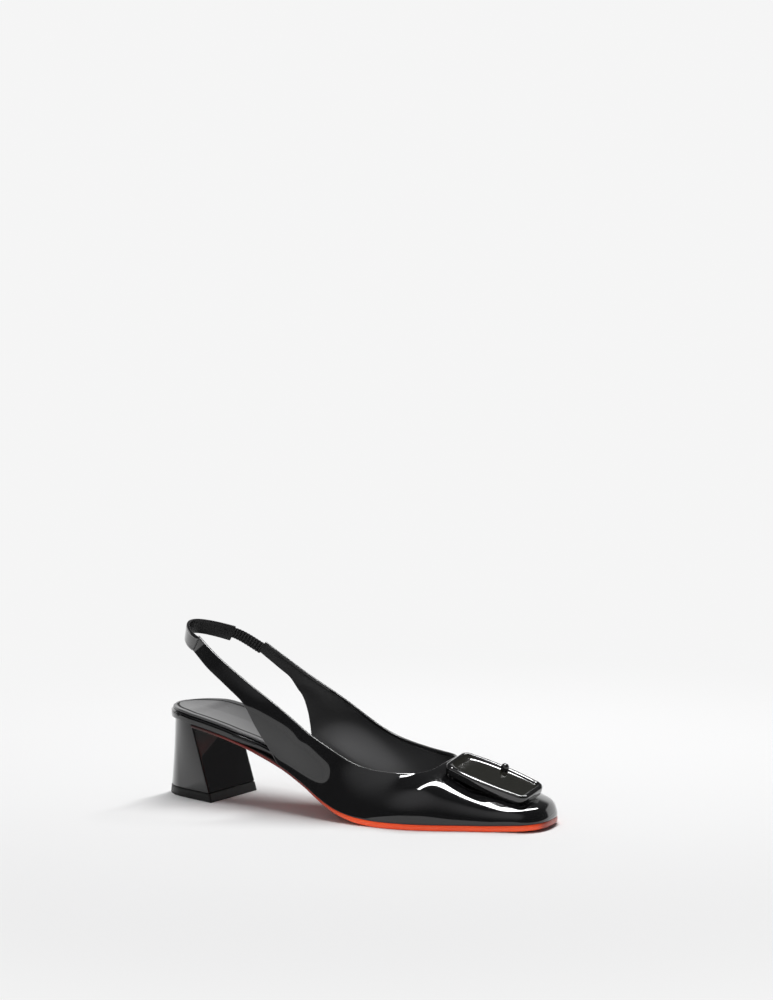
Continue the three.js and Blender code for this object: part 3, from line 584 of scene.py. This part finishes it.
# how far the wall swells out over the sole's edge, at the waist, where it is drawn in, and at
# the toe. It follows the edge so from one share of the length to the other, and in front.
WALL_SWELLS = (-0.0025, 0.0021)
PLUMB_FROM = 0.31
PLUMB_TO = 0.36
COLLAR = np.array([
    # share of the length, outer and inner half width of the opening as shares of the ball
    [0.030, 0.235, 0.235],
    [0.108, 0.268, 0.268],
    [0.167, 0.313, 0.313],
    [0.285, 0.367, 0.365],
    [0.413, 0.416, 0.402],
    [0.462, 0.432, 0.407],
])
ARMS = {
    # lower end and top end of each rib: shares of the length, and of the collar's height
    -1: np.array([
        [0.087, 0.884, 0.108, 0.961],
        [0.162, 0.787, 0.177, 0.860],
        [0.226, 0.690, 0.244, 0.769],
        [0.258, 0.638, 0.283, 0.715],
        [0.277, 0.587, 0.318, 0.671],
        [0.303, 0.474, 0.375, 0.590],
        [0.337, 0.361, 0.430, 0.502],
        [0.360, 0.000, 0.457, 0.463],
    ]),
    1: np.array([
        [0.170, 0.834, 0.185, 0.885],
        [0.223, 0.741, 0.247, 0.790],
        [0.251, 0.692, 0.276, 0.747],
        [0.271, 0.632, 0.308, 0.702],
        [0.289, 0.583, 0.336, 0.665],
        [0.306, 0.493, 0.379, 0.609],
        [0.318, 0.395, 0.416, 0.556],
        [0.328, 0.000, 0.439, 0.523],
    ]),
}
VAMP = {
    # way round the outline; top edge: share of the length, of the ball and of the vamp's height;
    # turn, rise, out and pull of the shoulder
    -1: np.array([
        [0.000, 0.457, 0.430, 1.397, 0.50, 0.00, 0.035, 1.0],
        [0.419, 0.510, 0.430, 1.190, 0.50, 0.00, 0.030, 1.0],
        [0.473, 0.557, 0.405, 0.996, 0.50, 0.02, 0.020, 1.0],
        [0.527, 0.608, 0.396, 0.918, 0.48, 0.05, 0.015, 1.0],
        [0.581, 0.654, 0.377, 0.893, 0.44, 0.12, 0.020, 1.1],
        [0.634, 0.694, 0.325, 0.894, 0.36, 0.28, 0.020, 1.5],
        [0.685, 0.719, 0.227, 0.909, 0.26, 0.42, 0.018, 2.2],
        [0.732, 0.727, 0.147, 0.939, 0.18, 0.32, 0.015, 3.2],
        [0.788, 0.729, 0.093, 0.958, 0.10, 0.215, 0.010, 5.0],
        [0.826, 0.730, 0.050, 0.970, 0.07, 0.165, 0.008, 6.0],
        [0.870, 0.730, 0.020, 0.979, 0.05, 0.155, 0.006, 7.0],
        [0.920, 0.730, -0.008, 0.985, 0.04, 0.175, 0.004, 8.0],
        [1.000, 0.730, -0.040, 0.990, 0.035, 0.215, 0.000, 9.0],
    ]),
    1: np.array([
        [0.000, 0.439, 0.405, 1.575, 0.50, 0.00, 0.030, 1.0],
        [0.405, 0.494, 0.410, 1.340, 0.50, 0.00, 0.050, 1.0],
        [0.464, 0.547, 0.408, 1.180, 0.48, 0.02, 0.055, 1.0],
        [0.523, 0.600, 0.398, 1.090, 0.46, 0.06, 0.050, 1.0],
        [0.581, 0.649, 0.378, 1.035, 0.42, 0.16, 0.040, 1.2],
        [0.634, 0.693, 0.345, 1.010, 0.35, 0.32, 0.030, 1.5],
        [0.685, 0.719, 0.285, 1.006, 0.27, 0.46, 0.018, 2.2],
        [0.732, 0.727, 0.225, 1.008, 0.19, 0.40, 0.012, 3.0],
        [0.788, 0.729, 0.175, 1.006, 0.12, 0.30, 0.008, 4.5],
        [0.826, 0.730, 0.130, 1.003, 0.08, 0.28, 0.006, 6.0],
        [0.870, 0.730, 0.100, 1.000, 0.055, 0.26, 0.005, 7.0],
        [0.920, 0.730, 0.072, 0.996, 0.04, 0.240, 0.004, 8.0],
        [1.000, 0.730, 0.040, 0.990, 0.035, 0.215, 0.000, 9.0],
    ]),
}


def collar(station, side, lean):
    """Offset of the strap line at a station: a round heel curve, then the quarter's line."""
    share = np.clip(1 - (station - STRAP_BACK + lean) / STRAP_ROUND, 0, 1)
    column = 1 if side < 0 else 2
    half = smooth(COLLAR[:, 0], COLLAR[:, column], station / FOOT) * BALL
    return side * half * np.sqrt(1 - share**2)


def along_rows(rows, t):
    """Columns of a table as smooth curves along its rows, from 0 to 1."""
    steps = np.linspace(0, 1, len(rows))
    return [smooth(steps, column, t) for column in rows.T]


def ribs(side, count_arm, count_vamp):
    """Control points and weights of one side's ribs, from the strap arm's end to the toe. Each
    rib has five: its lower end, the wall, the shoulder, the crown and its top edge."""
    arm_rows, vamp_rows = ARMS[side].copy(), VAMP[side].copy()
    start = arm_rows[-1, 0] * FOOT
    arm_rows[-1, 1] = (feather(start) + CLEARANCE) / COLLAR_HEIGHT
    vamp_rows[0, 0] = way_at(start)
    t = np.linspace(0, 1, count_arm, endpoint=False)
    low, low_up, top, top_up = along_rows(arm_rows, t)
    lasted = outline(way_at(low * FOOT), side, 0.0)[1]
    free = collar(low * FOOT, side, STRAP_LEAN)
    full, fades, gone = FLARE_SHARES
    flare = side * ARM_FLARE[side] * step(t, 0, full) * (1 - step(t, fades, gone))
    arm_low = place(low * FOOT, free + flare + (lasted - free) * t**2, low_up * COLLAR_HEIGHT)
    arm_top = place(top * FOOT, collar(top * FOOT, side, 0.0), top_up * COLLAR_HEIGHT)
    none = 0 * t
    bulge = vamp_rows[0, 6] * BALL * t**2
    arm_plumb = step(low, PLUMB_FROM, PLUMB_TO)
    arm = (0.50 + none, none, bulge, 1 + none, none, WALL_SWELLS[0] + none, arm_plumb)
    t = np.linspace(0, 1, count_vamp)
    way, top, top_out, top_up, turn, rise, out, pull = along_rows(vamp_rows, t)
    station, across = outline(way, side, 0.0)
    vamp_low = place(station, across, feather(station) + CLEARANCE)
    vamp_top = place(top * FOOT, side * top_out * BALL, top_up * VAMP_HEIGHT)
    crown = CROWN * step(t, 0.35, 0.6)
    foot = WALL_SWELLS[0] + (WALL_SWELLS[1] - WALL_SWELLS[0]) * step(way, 0.50, 0.66)
    plumb = step(station / FOOT, PLUMB_FROM, PLUMB_TO)
    vamp = (turn, rise * VAMP_HEIGHT, out * BALL, pull, crown, foot, plumb)
    low = np.concatenate([arm_low, vamp_low])
    top = np.concatenate([arm_top, vamp_top])
    both = [np.concatenate(pair)[:, None] for pair in zip(arm, vamp)]
    turn, rise, out, pull, crown, foot, plumb = both
    tilt = np.maximum(0, low[:, :1] - ORIGIN[0] - SWING_START) / SWING_RADIUS
    outward = np.concatenate([-np.sin(tilt), np.cos(tilt), 0 * tilt], axis=1) * side
    upward = np.array([0, 0, 1.0])
    shoulder = low + (top - low) * turn + outward * out + upward * rise
    half = (shoulder - low) / 2
    along = np.gradient(low, axis=0) * (1, 1, 0)
    along /= np.linalg.norm(along, axis=-1, keepdims=True)
    across = side * np.stack([-along[:, 1], along[:, 0], 0 * along[:, 0]], axis=-1)
    lean = np.sum(half * across, axis=-1, keepdims=True)
    wall = low + half + across * (foot - lean) * plumb + outward * (1 - plumb) * out / 4
    above = (shoulder + top) / 2 + upward * crown
    points = np.stack([low, wall, shoulder, above, top], axis=1)
    weights = np.ones(points.shape[:2])
    weights[:, 2] = pull[:, 0]
    return points, weights


def soften(values, reach):
    """Blurs values along the first axis by a bell of reach rows, and keeps both ends."""
    pad = 3 * reach
    start = 2 * values[:1] - values[pad:0:-1]
    end = 2 * values[-1:] - values[-2 : -pad - 2 : -1]
    padded = np.concatenate([start, values, end])
    offsets = np.arange(-pad, pad + 1)
    weights = np.exp(-0.5 * (offsets / reach) ** 2)
    shifted = [padded[pad + k : pad + k + len(values)] for k in offsets]
    return sum(part * weight for part, weight in zip(shifted, weights)) / weights.sum()


def bezier(points, weights, v):
    """Rational Bezier curves of degree 4, one for each row of control points, at each v."""
    binomial = np.array([1, 4, 6, 4, 1.0])
    k = np.arange(5)
    basis = binomial * v[:, None] ** k * (1 - v[:, None]) ** (4 - k)
    share = weights[:, None, :] * basis[None]
    return np.einsum("uvk,ukc->uvc", share, points) / share.sum(axis=-1, keepdims=True)


ARM_STEPS = 100
VAMP_STEPS = 170
outer_side = ribs(-1, ARM_STEPS, VAMP_STEPS)
inner_side = ribs(1, ARM_STEPS, VAMP_STEPS)
controls = np.concatenate([outer_side[0], inner_side[0][-2::-1]])
weights = np.concatenate([outer_side[1], inner_side[1][-2::-1]])
lasted = controls[:, 0].copy()
spread = 1 - step(np.abs(np.linspace(-1, 1, len(controls)))[:, None], 0.0, 0.25)
for values in (controls, weights):
    fine, broad = soften(values, 2), soften(values, 5)
    share = spread if values is weights else spread[..., None]
    values[:] = broad + (fine - broad) * share
controls[:, 0] = soften(lasted, 2)
v = np.linspace(0, 1, 64)
skin = bezier(controls, weights, v)
up_run = np.gradient(skin, axis=1)
along_run = np.gradient(skin, axis=0)
facing = np.cross(along_run, up_run)
facing /= np.linalg.norm(facing, axis=-1, keepdims=True)
up_run /= np.linalg.norm(up_run, axis=-1, keepdims=True)
lengths = np.linalg.norm(np.diff(skin, axis=1), axis=-1)
below_top = np.concatenate([np.cumsum(lengths[:, ::-1], axis=1)[:, ::-1], 0 * lengths[:, :1]], axis=1)
top_steps = np.linalg.norm(np.diff(skin[:, -1], axis=0), axis=-1)
top_run = np.concatenate([[0], np.cumsum(top_steps)])
fold = FOLD * (1 - step(below_top, 0.0012, 0.0017))
inside = skin - facing * (WALL + fold)[..., None]
on_sole = (np.arange(len(skin)) > ARM_STEPS) & (np.arange(len(skin)) < len(skin) - ARM_STEPS)
inside[on_sole, 0, 2] = skin[on_sole, 0, 2]


def rim(start, end, beyond, bulge, count):
    """Half round edge from the start points to the end points, bulging beyond them."""
    angle = np.linspace(0, math.pi, count + 2)[1:-1][None, :, None]
    middle, half = (start + end)[:, None] / 2, (start - end)[:, None] / 2
    return middle + half * np.cos(angle) + beyond[:, None] * bulge * np.sin(angle)


TOP_RIM_STEPS = 9
top_rim = rim(skin[:, -1], inside[:, -1], up_run[:, -1], 0.0006, TOP_RIM_STEPS)
low_rim = rim(inside[:, 0], skin[:, 0], -up_run[:, 0], 0.0004, 7)
upper_points = np.concatenate([skin, top_rim, inside[:, ::-1], low_rim], axis=1)
down = [below_top, 0 * top_rim[..., 0], below_top[:, ::-1], 0 * low_rim[..., 0]]
down = np.concatenate(down, axis=1)
run = top_run[:, None] + 0 * down
ends = [part.mean(axis=1, keepdims=True) + 0 * part for part in (upper_points[:1], upper_points[-1:])]
upper_points = np.concatenate([ends[0], upper_points, ends[1]])
upper_uv = np.pad(np.stack([run, down], axis=-1), ((1, 1), (0, 0), (0, 0)), "edge")
upper = surface("upper_skin", upper_points, closed_v=True, uv=upper_uv, sharp=60)
upper.data.materials.append(patent("upper_patent", 0.05, 0.00005))
lining, lining_shader, at = material("lining_leather", (0.014, 0.014, 0.0145), 0.40, Coat_Weight=1.0)
lining_shader.inputs["Coat Roughness"].default_value = 0.30
lining_shader.inputs["Coat IOR"].default_value = 1.8
lining_shader.inputs["Specular IOR Level"].default_value = 0.15
STITCH = 0.0017
STITCH_INSET = 0.0027
LINING_PAINTED_SHEEN = (0.10, 0.10, 0.102)
LINING = (0.010, 0.010, 0.0104)


def stitches(run):
    """Dashes between 0 and 1 along a run in metres, one to a stitch."""
    return (run * (2 * math.pi / STITCH)).maths("SINE").between(-0.4, 0.3)


# the lining is paler low in the shoe, a painted sheen, and glossier there; it is plain black on the
# arms and the strap
stitch_line = abs(at["v"] - STITCH_INSET).between(0.0001, 0.0004, 1.0, 0.0)
grain = noise(at, 1300, 4)
raised = stitch_line * stitches(at["u"]) * 0.8
bump(lining_shader, grain * 0.06 + raised - stitch_line * 0.5, 0.0003)
feed(lining_shader, "Roughness", grain.between(0.2, 0.8, 0.36, 0.50))
feed(lining_shader, "Coat Weight", at["z"].between(0.045, 0.075, 1.0, 0.2))
# paler low in the shoe: a painted sheen
feed(lining_shader, "Base Color", at["z"].between(0.022, 0.05).mix(LINING_PAINTED_SHEEN, LINING))
upper.data.materials.append(lining)
fold_skin, fold_shader, at = material("folded_edge", (0.006, 0.006, 0.0065), 0.32, Coat_Weight=0.35)
fold_shader.inputs["Coat Roughness"].default_value = 0.18
upper.data.materials.append(fold_skin)
columns = np.arange(upper_points.shape[1])
inside_start = len(v) + TOP_RIM_STEPS
is_lining = (columns >= inside_start + 3) & (columns < inside_start + len(v) - 1)
is_fold = (columns >= len(v) - 1) & (columns < inside_start)
zones = np.tile(is_lining + 2 * is_fold.astype(np.int32), upper_points.shape[0] - 1)
upper.data.polygons.foreach_set("material_index", zones)
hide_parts("upper")
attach(upper, "root")


# Back strap
# Folded patent strap round the back of the foot, lined inside, sewn over the outer arm's end
# and ending on the inner side where the elastic starts. Stitches follow each edge.
STRAP_WIDTH = 0.0086
STRAP_THICK = 0.0021
STRAP_PROUD = 0.0005
STRAP_OVERLAP = 0.06
STRAP_STEPS = 170
SEAM_INSET = 0.0013
BAND_STEPS = 56


def strap_way(station, lean=0.0):
    """Way round the strap line of a station, 0 at the back and 1 where its round ends."""
    from_back = station - (STRAP_BACK - lean)
    past = 1 + (from_back - STRAP_ROUND) / (math.pi / 2 * STRAP_ROUND)
    share = np.clip(1 - from_back / STRAP_ROUND, -1, 1)
    return float(past if from_back > STRAP_ROUND else math.acos(share) / (math.pi / 2))


def strap_point(way, up, lean):
    """Point on the strap line at a signed way, and the outward normal of the line there."""
    def at_way(value):
        """Point of a quarter circle up to way 1, and of the quarter's line past it."""
        side = np.where(value < 0, -1.0, 1.0)
        turn = np.minimum(np.abs(value), 1) * math.pi / 2
        past = np.maximum(0, np.abs(value) - 1) * math.pi / 2 * STRAP_ROUND
        station = STRAP_BACK - lean + STRAP_ROUND * (1 - np.cos(turn)) + past
        half = smooth(COLLAR[:, 0], COLLAR[:, 1], station / FOOT) * BALL * np.sin(turn)
        return place(station, side * half, up)
    ahead = at_way(way + 0.01) - at_way(way - 0.01)
    ahead /= np.linalg.norm(ahead, axis=-1, keepdims=True)
    outward = np.stack([-ahead[..., 1], ahead[..., 0], 0 * ahead[..., 0]], axis=-1)
    return at_way(way), outward


def band(name, start, end, top_up, width, thickness, proud, ruffle, count):
    """Flat band with rounded edges along the strap line, between two pairs of ways."""
    t = np.linspace(0, 1, count)
    top_way = start[0] + (end[0] - start[0]) * t
    low_way = start[1] + (end[1] - start[1]) * t
    height = top_up(top_way)
    top, top_out = strap_point(top_way, height, 0.0)
    low, low_out = strap_point(low_way, height - width, STRAP_LEAN)
    angle = np.linspace(0, 2 * math.pi, BAND_STEPS, endpoint=False)
    flat, deep = np.cos(angle), np.sin(angle)
    down = (1 - np.sign(flat) * np.abs(flat) ** 0.28) / 2
    depth = np.sign(deep) * np.abs(deep) ** 0.55 / 2
    centre = top[:, None] + (low - top)[:, None] * down[None, :, None]
    normal = top_out[:, None] + (low_out - top_out)[:, None] * down[None, :, None]
    middle = proud - thickness / 2 + ruffle(t)[:, None]
    points = centre + normal * (middle + depth[None] * thickness)[..., None]
    length = np.concatenate([[0], np.cumsum(np.linalg.norm(np.diff(top, axis=0), axis=-1))])
    uv = np.stack(np.broadcast_arrays(length[:, None], down[None] * width), axis=-1)
    ends = [points[k].mean(axis=0) + 0 * points[k] for k in (0, -1)]
    lips = [points[k] + (points[k].mean(axis=0) - points[k]) * 0.12 for k in (0, -1)]
    stack = [ends[0], lips[0], *points[1:-1], lips[1], ends[1]]
    wide = np.concatenate([uv[:1], uv, uv[-1:]])
    return surface(name, np.array(stack), closed_v=True, uv=wide, sharp=70)


arm_out = (strap_way(0.108 * FOOT), strap_way(0.087 * FOOT, STRAP_LEAN))
arm_in = (strap_way(0.185 * FOOT), strap_way(0.170 * FOOT, STRAP_LEAN))
strap_end = (strap_way(0.0272), strap_way(0.0236, STRAP_LEAN))


def strap_up(way):
    """Height of the strap's top edge, highest at the back."""
    ways = (-arm_out[0], 0, strap_end[0], arm_in[0])
    return smooth(ways, np.array([0.961, 1.026, 0.972, 0.885]) * COLLAR_HEIGHT, way)


strap_start = (-arm_out[0] - STRAP_OVERLAP, -arm_out[1] - STRAP_OVERLAP)
strap = band(
    "strap_skin", strap_start, strap_end, strap_up,
    STRAP_WIDTH, STRAP_THICK, STRAP_PROUD, lambda t: 0 * t, STRAP_STEPS)
strap_skin, strap_shader, at = material("strap_patent", (0.006, 0.006, 0.0065), 0.07, Coat_Weight=1.0)
strap_shader.inputs["Coat Roughness"].default_value = 0.03
strap_shader.inputs["Coat IOR"].default_value = 1.4
from_seam = abs(at["v"] - STRAP_WIDTH / 2) - (STRAP_WIDTH / 2 - SEAM_INSET)
seam = abs(from_seam).between(0.0001, 0.00035, 1.0, 0.0)
raised_edge = from_seam.between(-0.00025, 0.00025) * 0.6
bump(strap_shader, raised_edge + seam * stitches(at["u"]) * 0.4, 0.00025)
feed(strap_shader, "Roughness", noise(at, 260, 4).between(0.3, 0.75, 0.06, 0.14))
strap.data.materials.append(strap_skin)
strap.data.materials.append(lining)
# the second half of the band's section, but for its rounded edges, is its inner face
around_band = np.arange(BAND_STEPS)
inner_face = (around_band >= BAND_STEPS // 2 + 2) & (around_band < BAND_STEPS - 2)
zones = np.tile(inner_face.astype(np.int32), STRAP_STEPS + 1)
strap.data.polygons.foreach_set("material_index", zones)
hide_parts("back_strap")
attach(strap, "root")


# Elastic gusset
# Gathered black elastic between the back strap and the inner arm. Its rubber threads pull it
# into narrow upright folds.
ELASTIC_WIDTH = 0.0056
ELASTIC_THICK = 0.0013
ELASTIC_DROP = 0.0009
FOLDS = 11
FOLD_DEPTH = 0.00035


def elastic_edges(end, width, gap):
    """Top and lower way of the elastic's end inside a strap's end of that width."""
    shares = (ELASTIC_DROP / width, (ELASTIC_DROP + ELASTIC_WIDTH) / width)
    return [end[0] + (end[1] - end[0]) * share + gap for share in shares]


arm_end_width = (ARMS[1][0, 3] - ARMS[1][0, 1]) * COLLAR_HEIGHT
elastic_start = elastic_edges(strap_end, STRAP_WIDTH, -0.01)
elastic_end = elastic_edges(arm_in, arm_end_width, 0.01)
elastic = band(
    "elastic_folds", elastic_start, elastic_end, lambda way: strap_up(way) - ELASTIC_DROP,
    ELASTIC_WIDTH, ELASTIC_THICK, -0.0002, lambda t: FOLD_DEPTH * np.cos(2 * math.pi * FOLDS * t), 260)
weave, weave_shader, at = material("elastic_weave", (0.008, 0.008, 0.008), 0.7, Sheen_Weight=0.08)
threads = (at["v"] * (2 * math.pi / 0.0007)).maths("SINE") * 0.5
picks = (at["u"] * (2 * math.pi / 0.0004)).maths("SINE") * 0.3
fuzz = noise(at, 3500, 3)
feed(weave_shader, "Base Color", fuzz.between(0.3, 0.7).mix((0.006,) * 3, (0.016,) * 3))
bump(weave_shader, threads + picks + fuzz * 0.4, 0.00015)
elastic.data.materials.append(weave)
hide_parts("elastic_gusset")
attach(elastic, "root")


# Buckle rim
# Glossy moulded buckle on the vamp: a rounded rectangular rim with bowed sides, seated on the
# crest of the vamp and rolled a little towards the outer side.
BUCKLE = 0.053
BUCKLE_WIDTH = 0.026
BUCKLE_START = 0.1823
BUCKLE_SHIFT = 0.0035
BUCKLE_ROLL = 10.5
BOW = 0.0016
CORNER = 0.0055
BAR = 0.0034
RIM = 0.0056
crest = skin[ARM_STEPS + VAMP_STEPS - 1]


def on_crest(x):
    """Point of the vamp's centre line at an x of the last."""
    order = np.argsort(crest[:, 0])
    return np.array([np.interp(x + ORIGIN[0], crest[order, 0], crest[order, k]) for k in range(3)])


seat_reach = BUCKLE * math.cos(math.atan2(VAMP_HEIGHT, FOOT - BUCKLE_START) / 2)
seat_back = on_crest(BUCKLE_START)
seat_front = on_crest(BUCKLE_START + seat_reach)
seat_along = (seat_front - seat_back) / np.linalg.norm(seat_front - seat_back)
seat_side = np.cross([0, 0, 1.0], seat_along)
seat_side /= np.linalg.norm(seat_side)
seat_centre = (seat_back + seat_front) / 2 - BUCKLE_SHIFT * seat_side
roll = math.radians(BUCKLE_ROLL)
seat_side = seat_side * math.cos(roll) + np.cross(seat_along, seat_side) * math.sin(roll)
seat_up = np.cross(seat_along, seat_side)


def seated(along, across, up):
    """Points of the buckle, from its own lengths to the frame of the shoe."""
    parts = zip(np.broadcast_arrays(along, across, up), (seat_along, seat_side, seat_up))
    return seat_centre + sum(value[..., None] * axis for value, axis in parts)


def buckle_path(inset, count):
    """Rounded rectangle with bowed long sides, drawn in by inset, at even steps round it."""
    half_long, half_wide = BUCKLE / 2 - inset, BUCKLE_WIDTH / 2 - inset
    radius = max(CORNER - inset, 0.0012)
    t = np.linspace(-1, 1, 200)[:, None]
    side = np.concatenate([t * (half_long - radius), -half_wide - BOW * (1 - t**2)], axis=1)
    angle = np.radians(np.linspace(-90, 0, 40)[1:])[:, None]
    corner = (half_long - radius, radius - half_wide)
    turn = np.concatenate([np.cos(angle), np.sin(angle)], axis=1) * radius + corner
    end = np.concatenate([0 * t + half_long, t * (half_wide - radius)], axis=1)
    quarter = np.concatenate([side, turn, end[1:-1]])
    back = np.concatenate([turn[::-1] * (1, -1), side[::-1] * (1, -1)])
    half = np.concatenate([quarter, back[:-1]])
    far = np.concatenate([turn * (-1, -1), end[1:-1] * (-1, -1), (turn * (-1, 1))[::-1]])
    loop = np.concatenate([half, far])
    loop = np.concatenate([loop, loop[:1]])
    length = np.concatenate([[0], np.cumsum(np.linalg.norm(np.diff(loop, axis=0), axis=-1))])
    even = np.linspace(0, length[-1], count, endpoint=False)
    return np.stack([np.interp(even, length, loop[:, k]) for k in (0, 1)], axis=-1)


rim_section = [(0.0012, -0.0004), (0.0004, 0.0002), (0.0001, 0.0012), (0, 0.0026)]
rim_section += arc((0.0016, 0.0040), 0.0016, 180, 90, 9)
rim_section += arc((0.0019, 0.0042), 0.0014, 90, 12, 8)[1:]
rim_section += [(0.0036, 0.0036), (0.0042, 0.0028), (0.0030, 0.0006)]
PATH_STEPS = 480
loops = [buckle_path(inset, PATH_STEPS) for inset, _ in rim_section]
heights = np.array([height for _, height in rim_section])[None]
rim_x = np.stack([loop[:, 0] for loop in loops], axis=1)
rim_y = np.stack([loop[:, 1] for loop in loops], axis=1)
buckle = surface("buckle_rim", seated(rim_x, rim_y, heights + 0 * rim_x), True, True, sharp=60)


def lacquer(name, colour, roughness, coat=1.0):
    """Moulded part under a clear lacquer, with a faint unevenness in its gloss."""
    made, shader, wires = material(name, colour, roughness, Coat_Weight=coat)
    shader.inputs["Coat Roughness"].default_value = 0.02
    shader.inputs["Coat IOR"].default_value = 1.6
    haze = noise(wires, 300, 4)
    feed(shader, "Roughness", haze.between(0.3, 0.75, roughness, roughness * 1.4))
    bump(shader, noise(wires, 120, 2), 0.00003)
    return made


buckle.data.materials.append(lacquer("buckle_lacquer", (0.004, 0.004, 0.004), 0.06))
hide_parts("buckle_frame")
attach(buckle, "root")


# Buckle panel
# Dark panel inside the rim, dished below it and swept up to it in a wide fillet at the back.
PANEL_INSET = 0.0030
PANEL_DROP = 0.0016
edge = buckle_path(PANEL_INSET, PATH_STEPS)[:, None]
spine_reach = (BUCKLE - BUCKLE_WIDTH) / 2
spine = np.clip(edge[..., :1], -spine_reach, spine_reach)
spine = np.concatenate([spine, 0 * spine], axis=-1)
k = np.linspace(0, 1, 60)[None, :, None]
plan = edge + (spine - edge) * k
from_edge = np.linalg.norm(plan - edge, axis=-1)
from_back = np.maximum(0, plan[..., 0] + BUCKLE / 2 - PANEL_INSET)
fillet = 0.0012 * np.exp(-((from_back / 0.0040) ** 1.5))
raised_edge = 0.0007 * np.exp(-from_edge / 0.0011)
dish = 0.0003 * (1 - (plan[..., 0] / (BUCKLE / 2)) ** 2)
panel_up = RIM - PANEL_DROP + raised_edge + fillet - dish
panel = surface("buckle_panel", seated(plan[..., 0], plan[..., 1], panel_up), closed_u=True, sharp=80)
panel.data.materials.append(lacquer("panel_lacquer", (0.012, 0.012, 0.008), 0.10, 0.7))
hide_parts("buckle_plate")
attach(panel, "root")


# Buckle pin
# Small round knob on a short stem, set into the rim's inner side. Eight faint beads run round
# it below its widest part.
KNOB = 0.0024
PIN_SINK = 0.0002
BEADS = 8
profile = [(0.0016, -0.0030), (0.0018, -0.0013)] + arc((0, 0), KNOB, -35, 90, 18)
radius = np.array([row[0] for row in profile])[None]
height = np.array([row[1] for row in profile])[None]
turn = np.linspace(0, 2 * math.pi, 96, endpoint=False)[:, None]
near_ring = np.exp(-(((height + 0.0010) / 0.0005) ** 2))
beaded = radius * (1 + 0.02 * np.cos(BEADS * turn) * near_ring)
pin_across = BUCKLE_WIDTH / 2 + BOW - BAR / 2 - 0.0006
pin_up = RIM - PIN_SINK + height
pin_points = seated(beaded * np.cos(turn), pin_across + beaded * np.sin(turn), pin_up)
pin = surface("buckle_knob", pin_points, closed_u=True, sharp=60)
pin.data.materials.append(lacquer("knob_lacquer", (0.006, 0.006, 0.006), 0.10))
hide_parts("buckle_pin")
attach(pin, "root")


# Floor
# Plain white floor. Far from the shoe it glows at the brightness of the lit floor, so that it
# runs on into the white surround without an edge.
REACH = 30.0
PALE = 0.86
WHITE = 0.915
floor_mesh = bpy.data.meshes.new("floor")
corners = [(-REACH, -REACH, 0), (REACH, -REACH, 0), (REACH, REACH, 0), (-REACH, REACH, 0)]
floor_mesh.from_pydata(corners, [], [(0, 1, 2, 3)])
floor = bpy.data.objects.new("floor", floor_mesh)
bpy.context.collection.objects.link(floor)
paper, paper_shader, at = material("floor_paper", (PALE, PALE, PALE), 0.9)
spot = at["spot"]
reach = spot.node("ShaderNodeVectorMath", {"operation": "LENGTH"}, output=1, Vector=spot)
far = reach.between(0.22, 0.6)
feed(paper_shader, "Base Color", far.mix((PALE,) * 3, (0.0,) * 3))
feed(paper_shader, "Emission Color", far.mix((0.0,) * 3, (WHITE,) * 3))
paper_shader.inputs["Emission Strength"].default_value = 1.0
paper_shader.inputs["Specular IOR Level"].default_value = 0.0
floor.data.materials.append(paper)


# Light
# A long softbox overhead on the inner side, turned a little, in a dark surround that is white
# behind the shoe up to a low height and has a grey patch high on the outer side.
DARK = (0.09, 0.09, 0.092)
GREY = (0.55, 0.55, 0.56)


def softbox(name, where, target, size, radiance):
    """Rectangular area light at a place, facing a target, with that radiance."""
    lamp = bpy.data.lights.new(name, "AREA")
    lamp.shape = "RECTANGLE"
    lamp.size, lamp.size_y = size
    lamp.energy = radiance * math.pi * size[0] * size[1]
    stand = bpy.data.objects.new(name, lamp)
    stand.location = where
    facing_to = Vector(target) - Vector(where)
    stand.rotation_euler = facing_to.to_track_quat("-Z", "Y").to_euler()
    stand.visible_camera = False
    bpy.context.collection.objects.link(stand)
    return stand


strip = softbox("overhead", (-0.05, 0.57, 2.0), (-0.05, 0.57, 0.0), (0.18, 2.4), 34.0)
strip.rotation_euler.z -= 0.11
world = bpy.data.worlds.new("surround")
world.use_nodes = True
tree = world.node_tree
background = tree.nodes["Background"]
way_node = tree.nodes.new("ShaderNodeTexCoord")
split = tree.nodes.new("ShaderNodeSeparateXYZ")
tree.links.new(way_node.outputs["Generated"], split.inputs[0])
x, y, z = [Wire(tree, socket) for socket in split.outputs]
behind = (x * -0.525 + y * 0.85).between(0.46, 0.56)
low = z.between(0.36, 0.46, 1.0, 0.0)
patch = (y * -0.72 + z * 0.69).between(0.78, 1.0)
colour = (behind * low).mix(patch.mix(DARK, GREY), (WHITE,) * 3)
tree.links.new(colour.socket, background.inputs["Color"])
bpy.context.scene.world = world
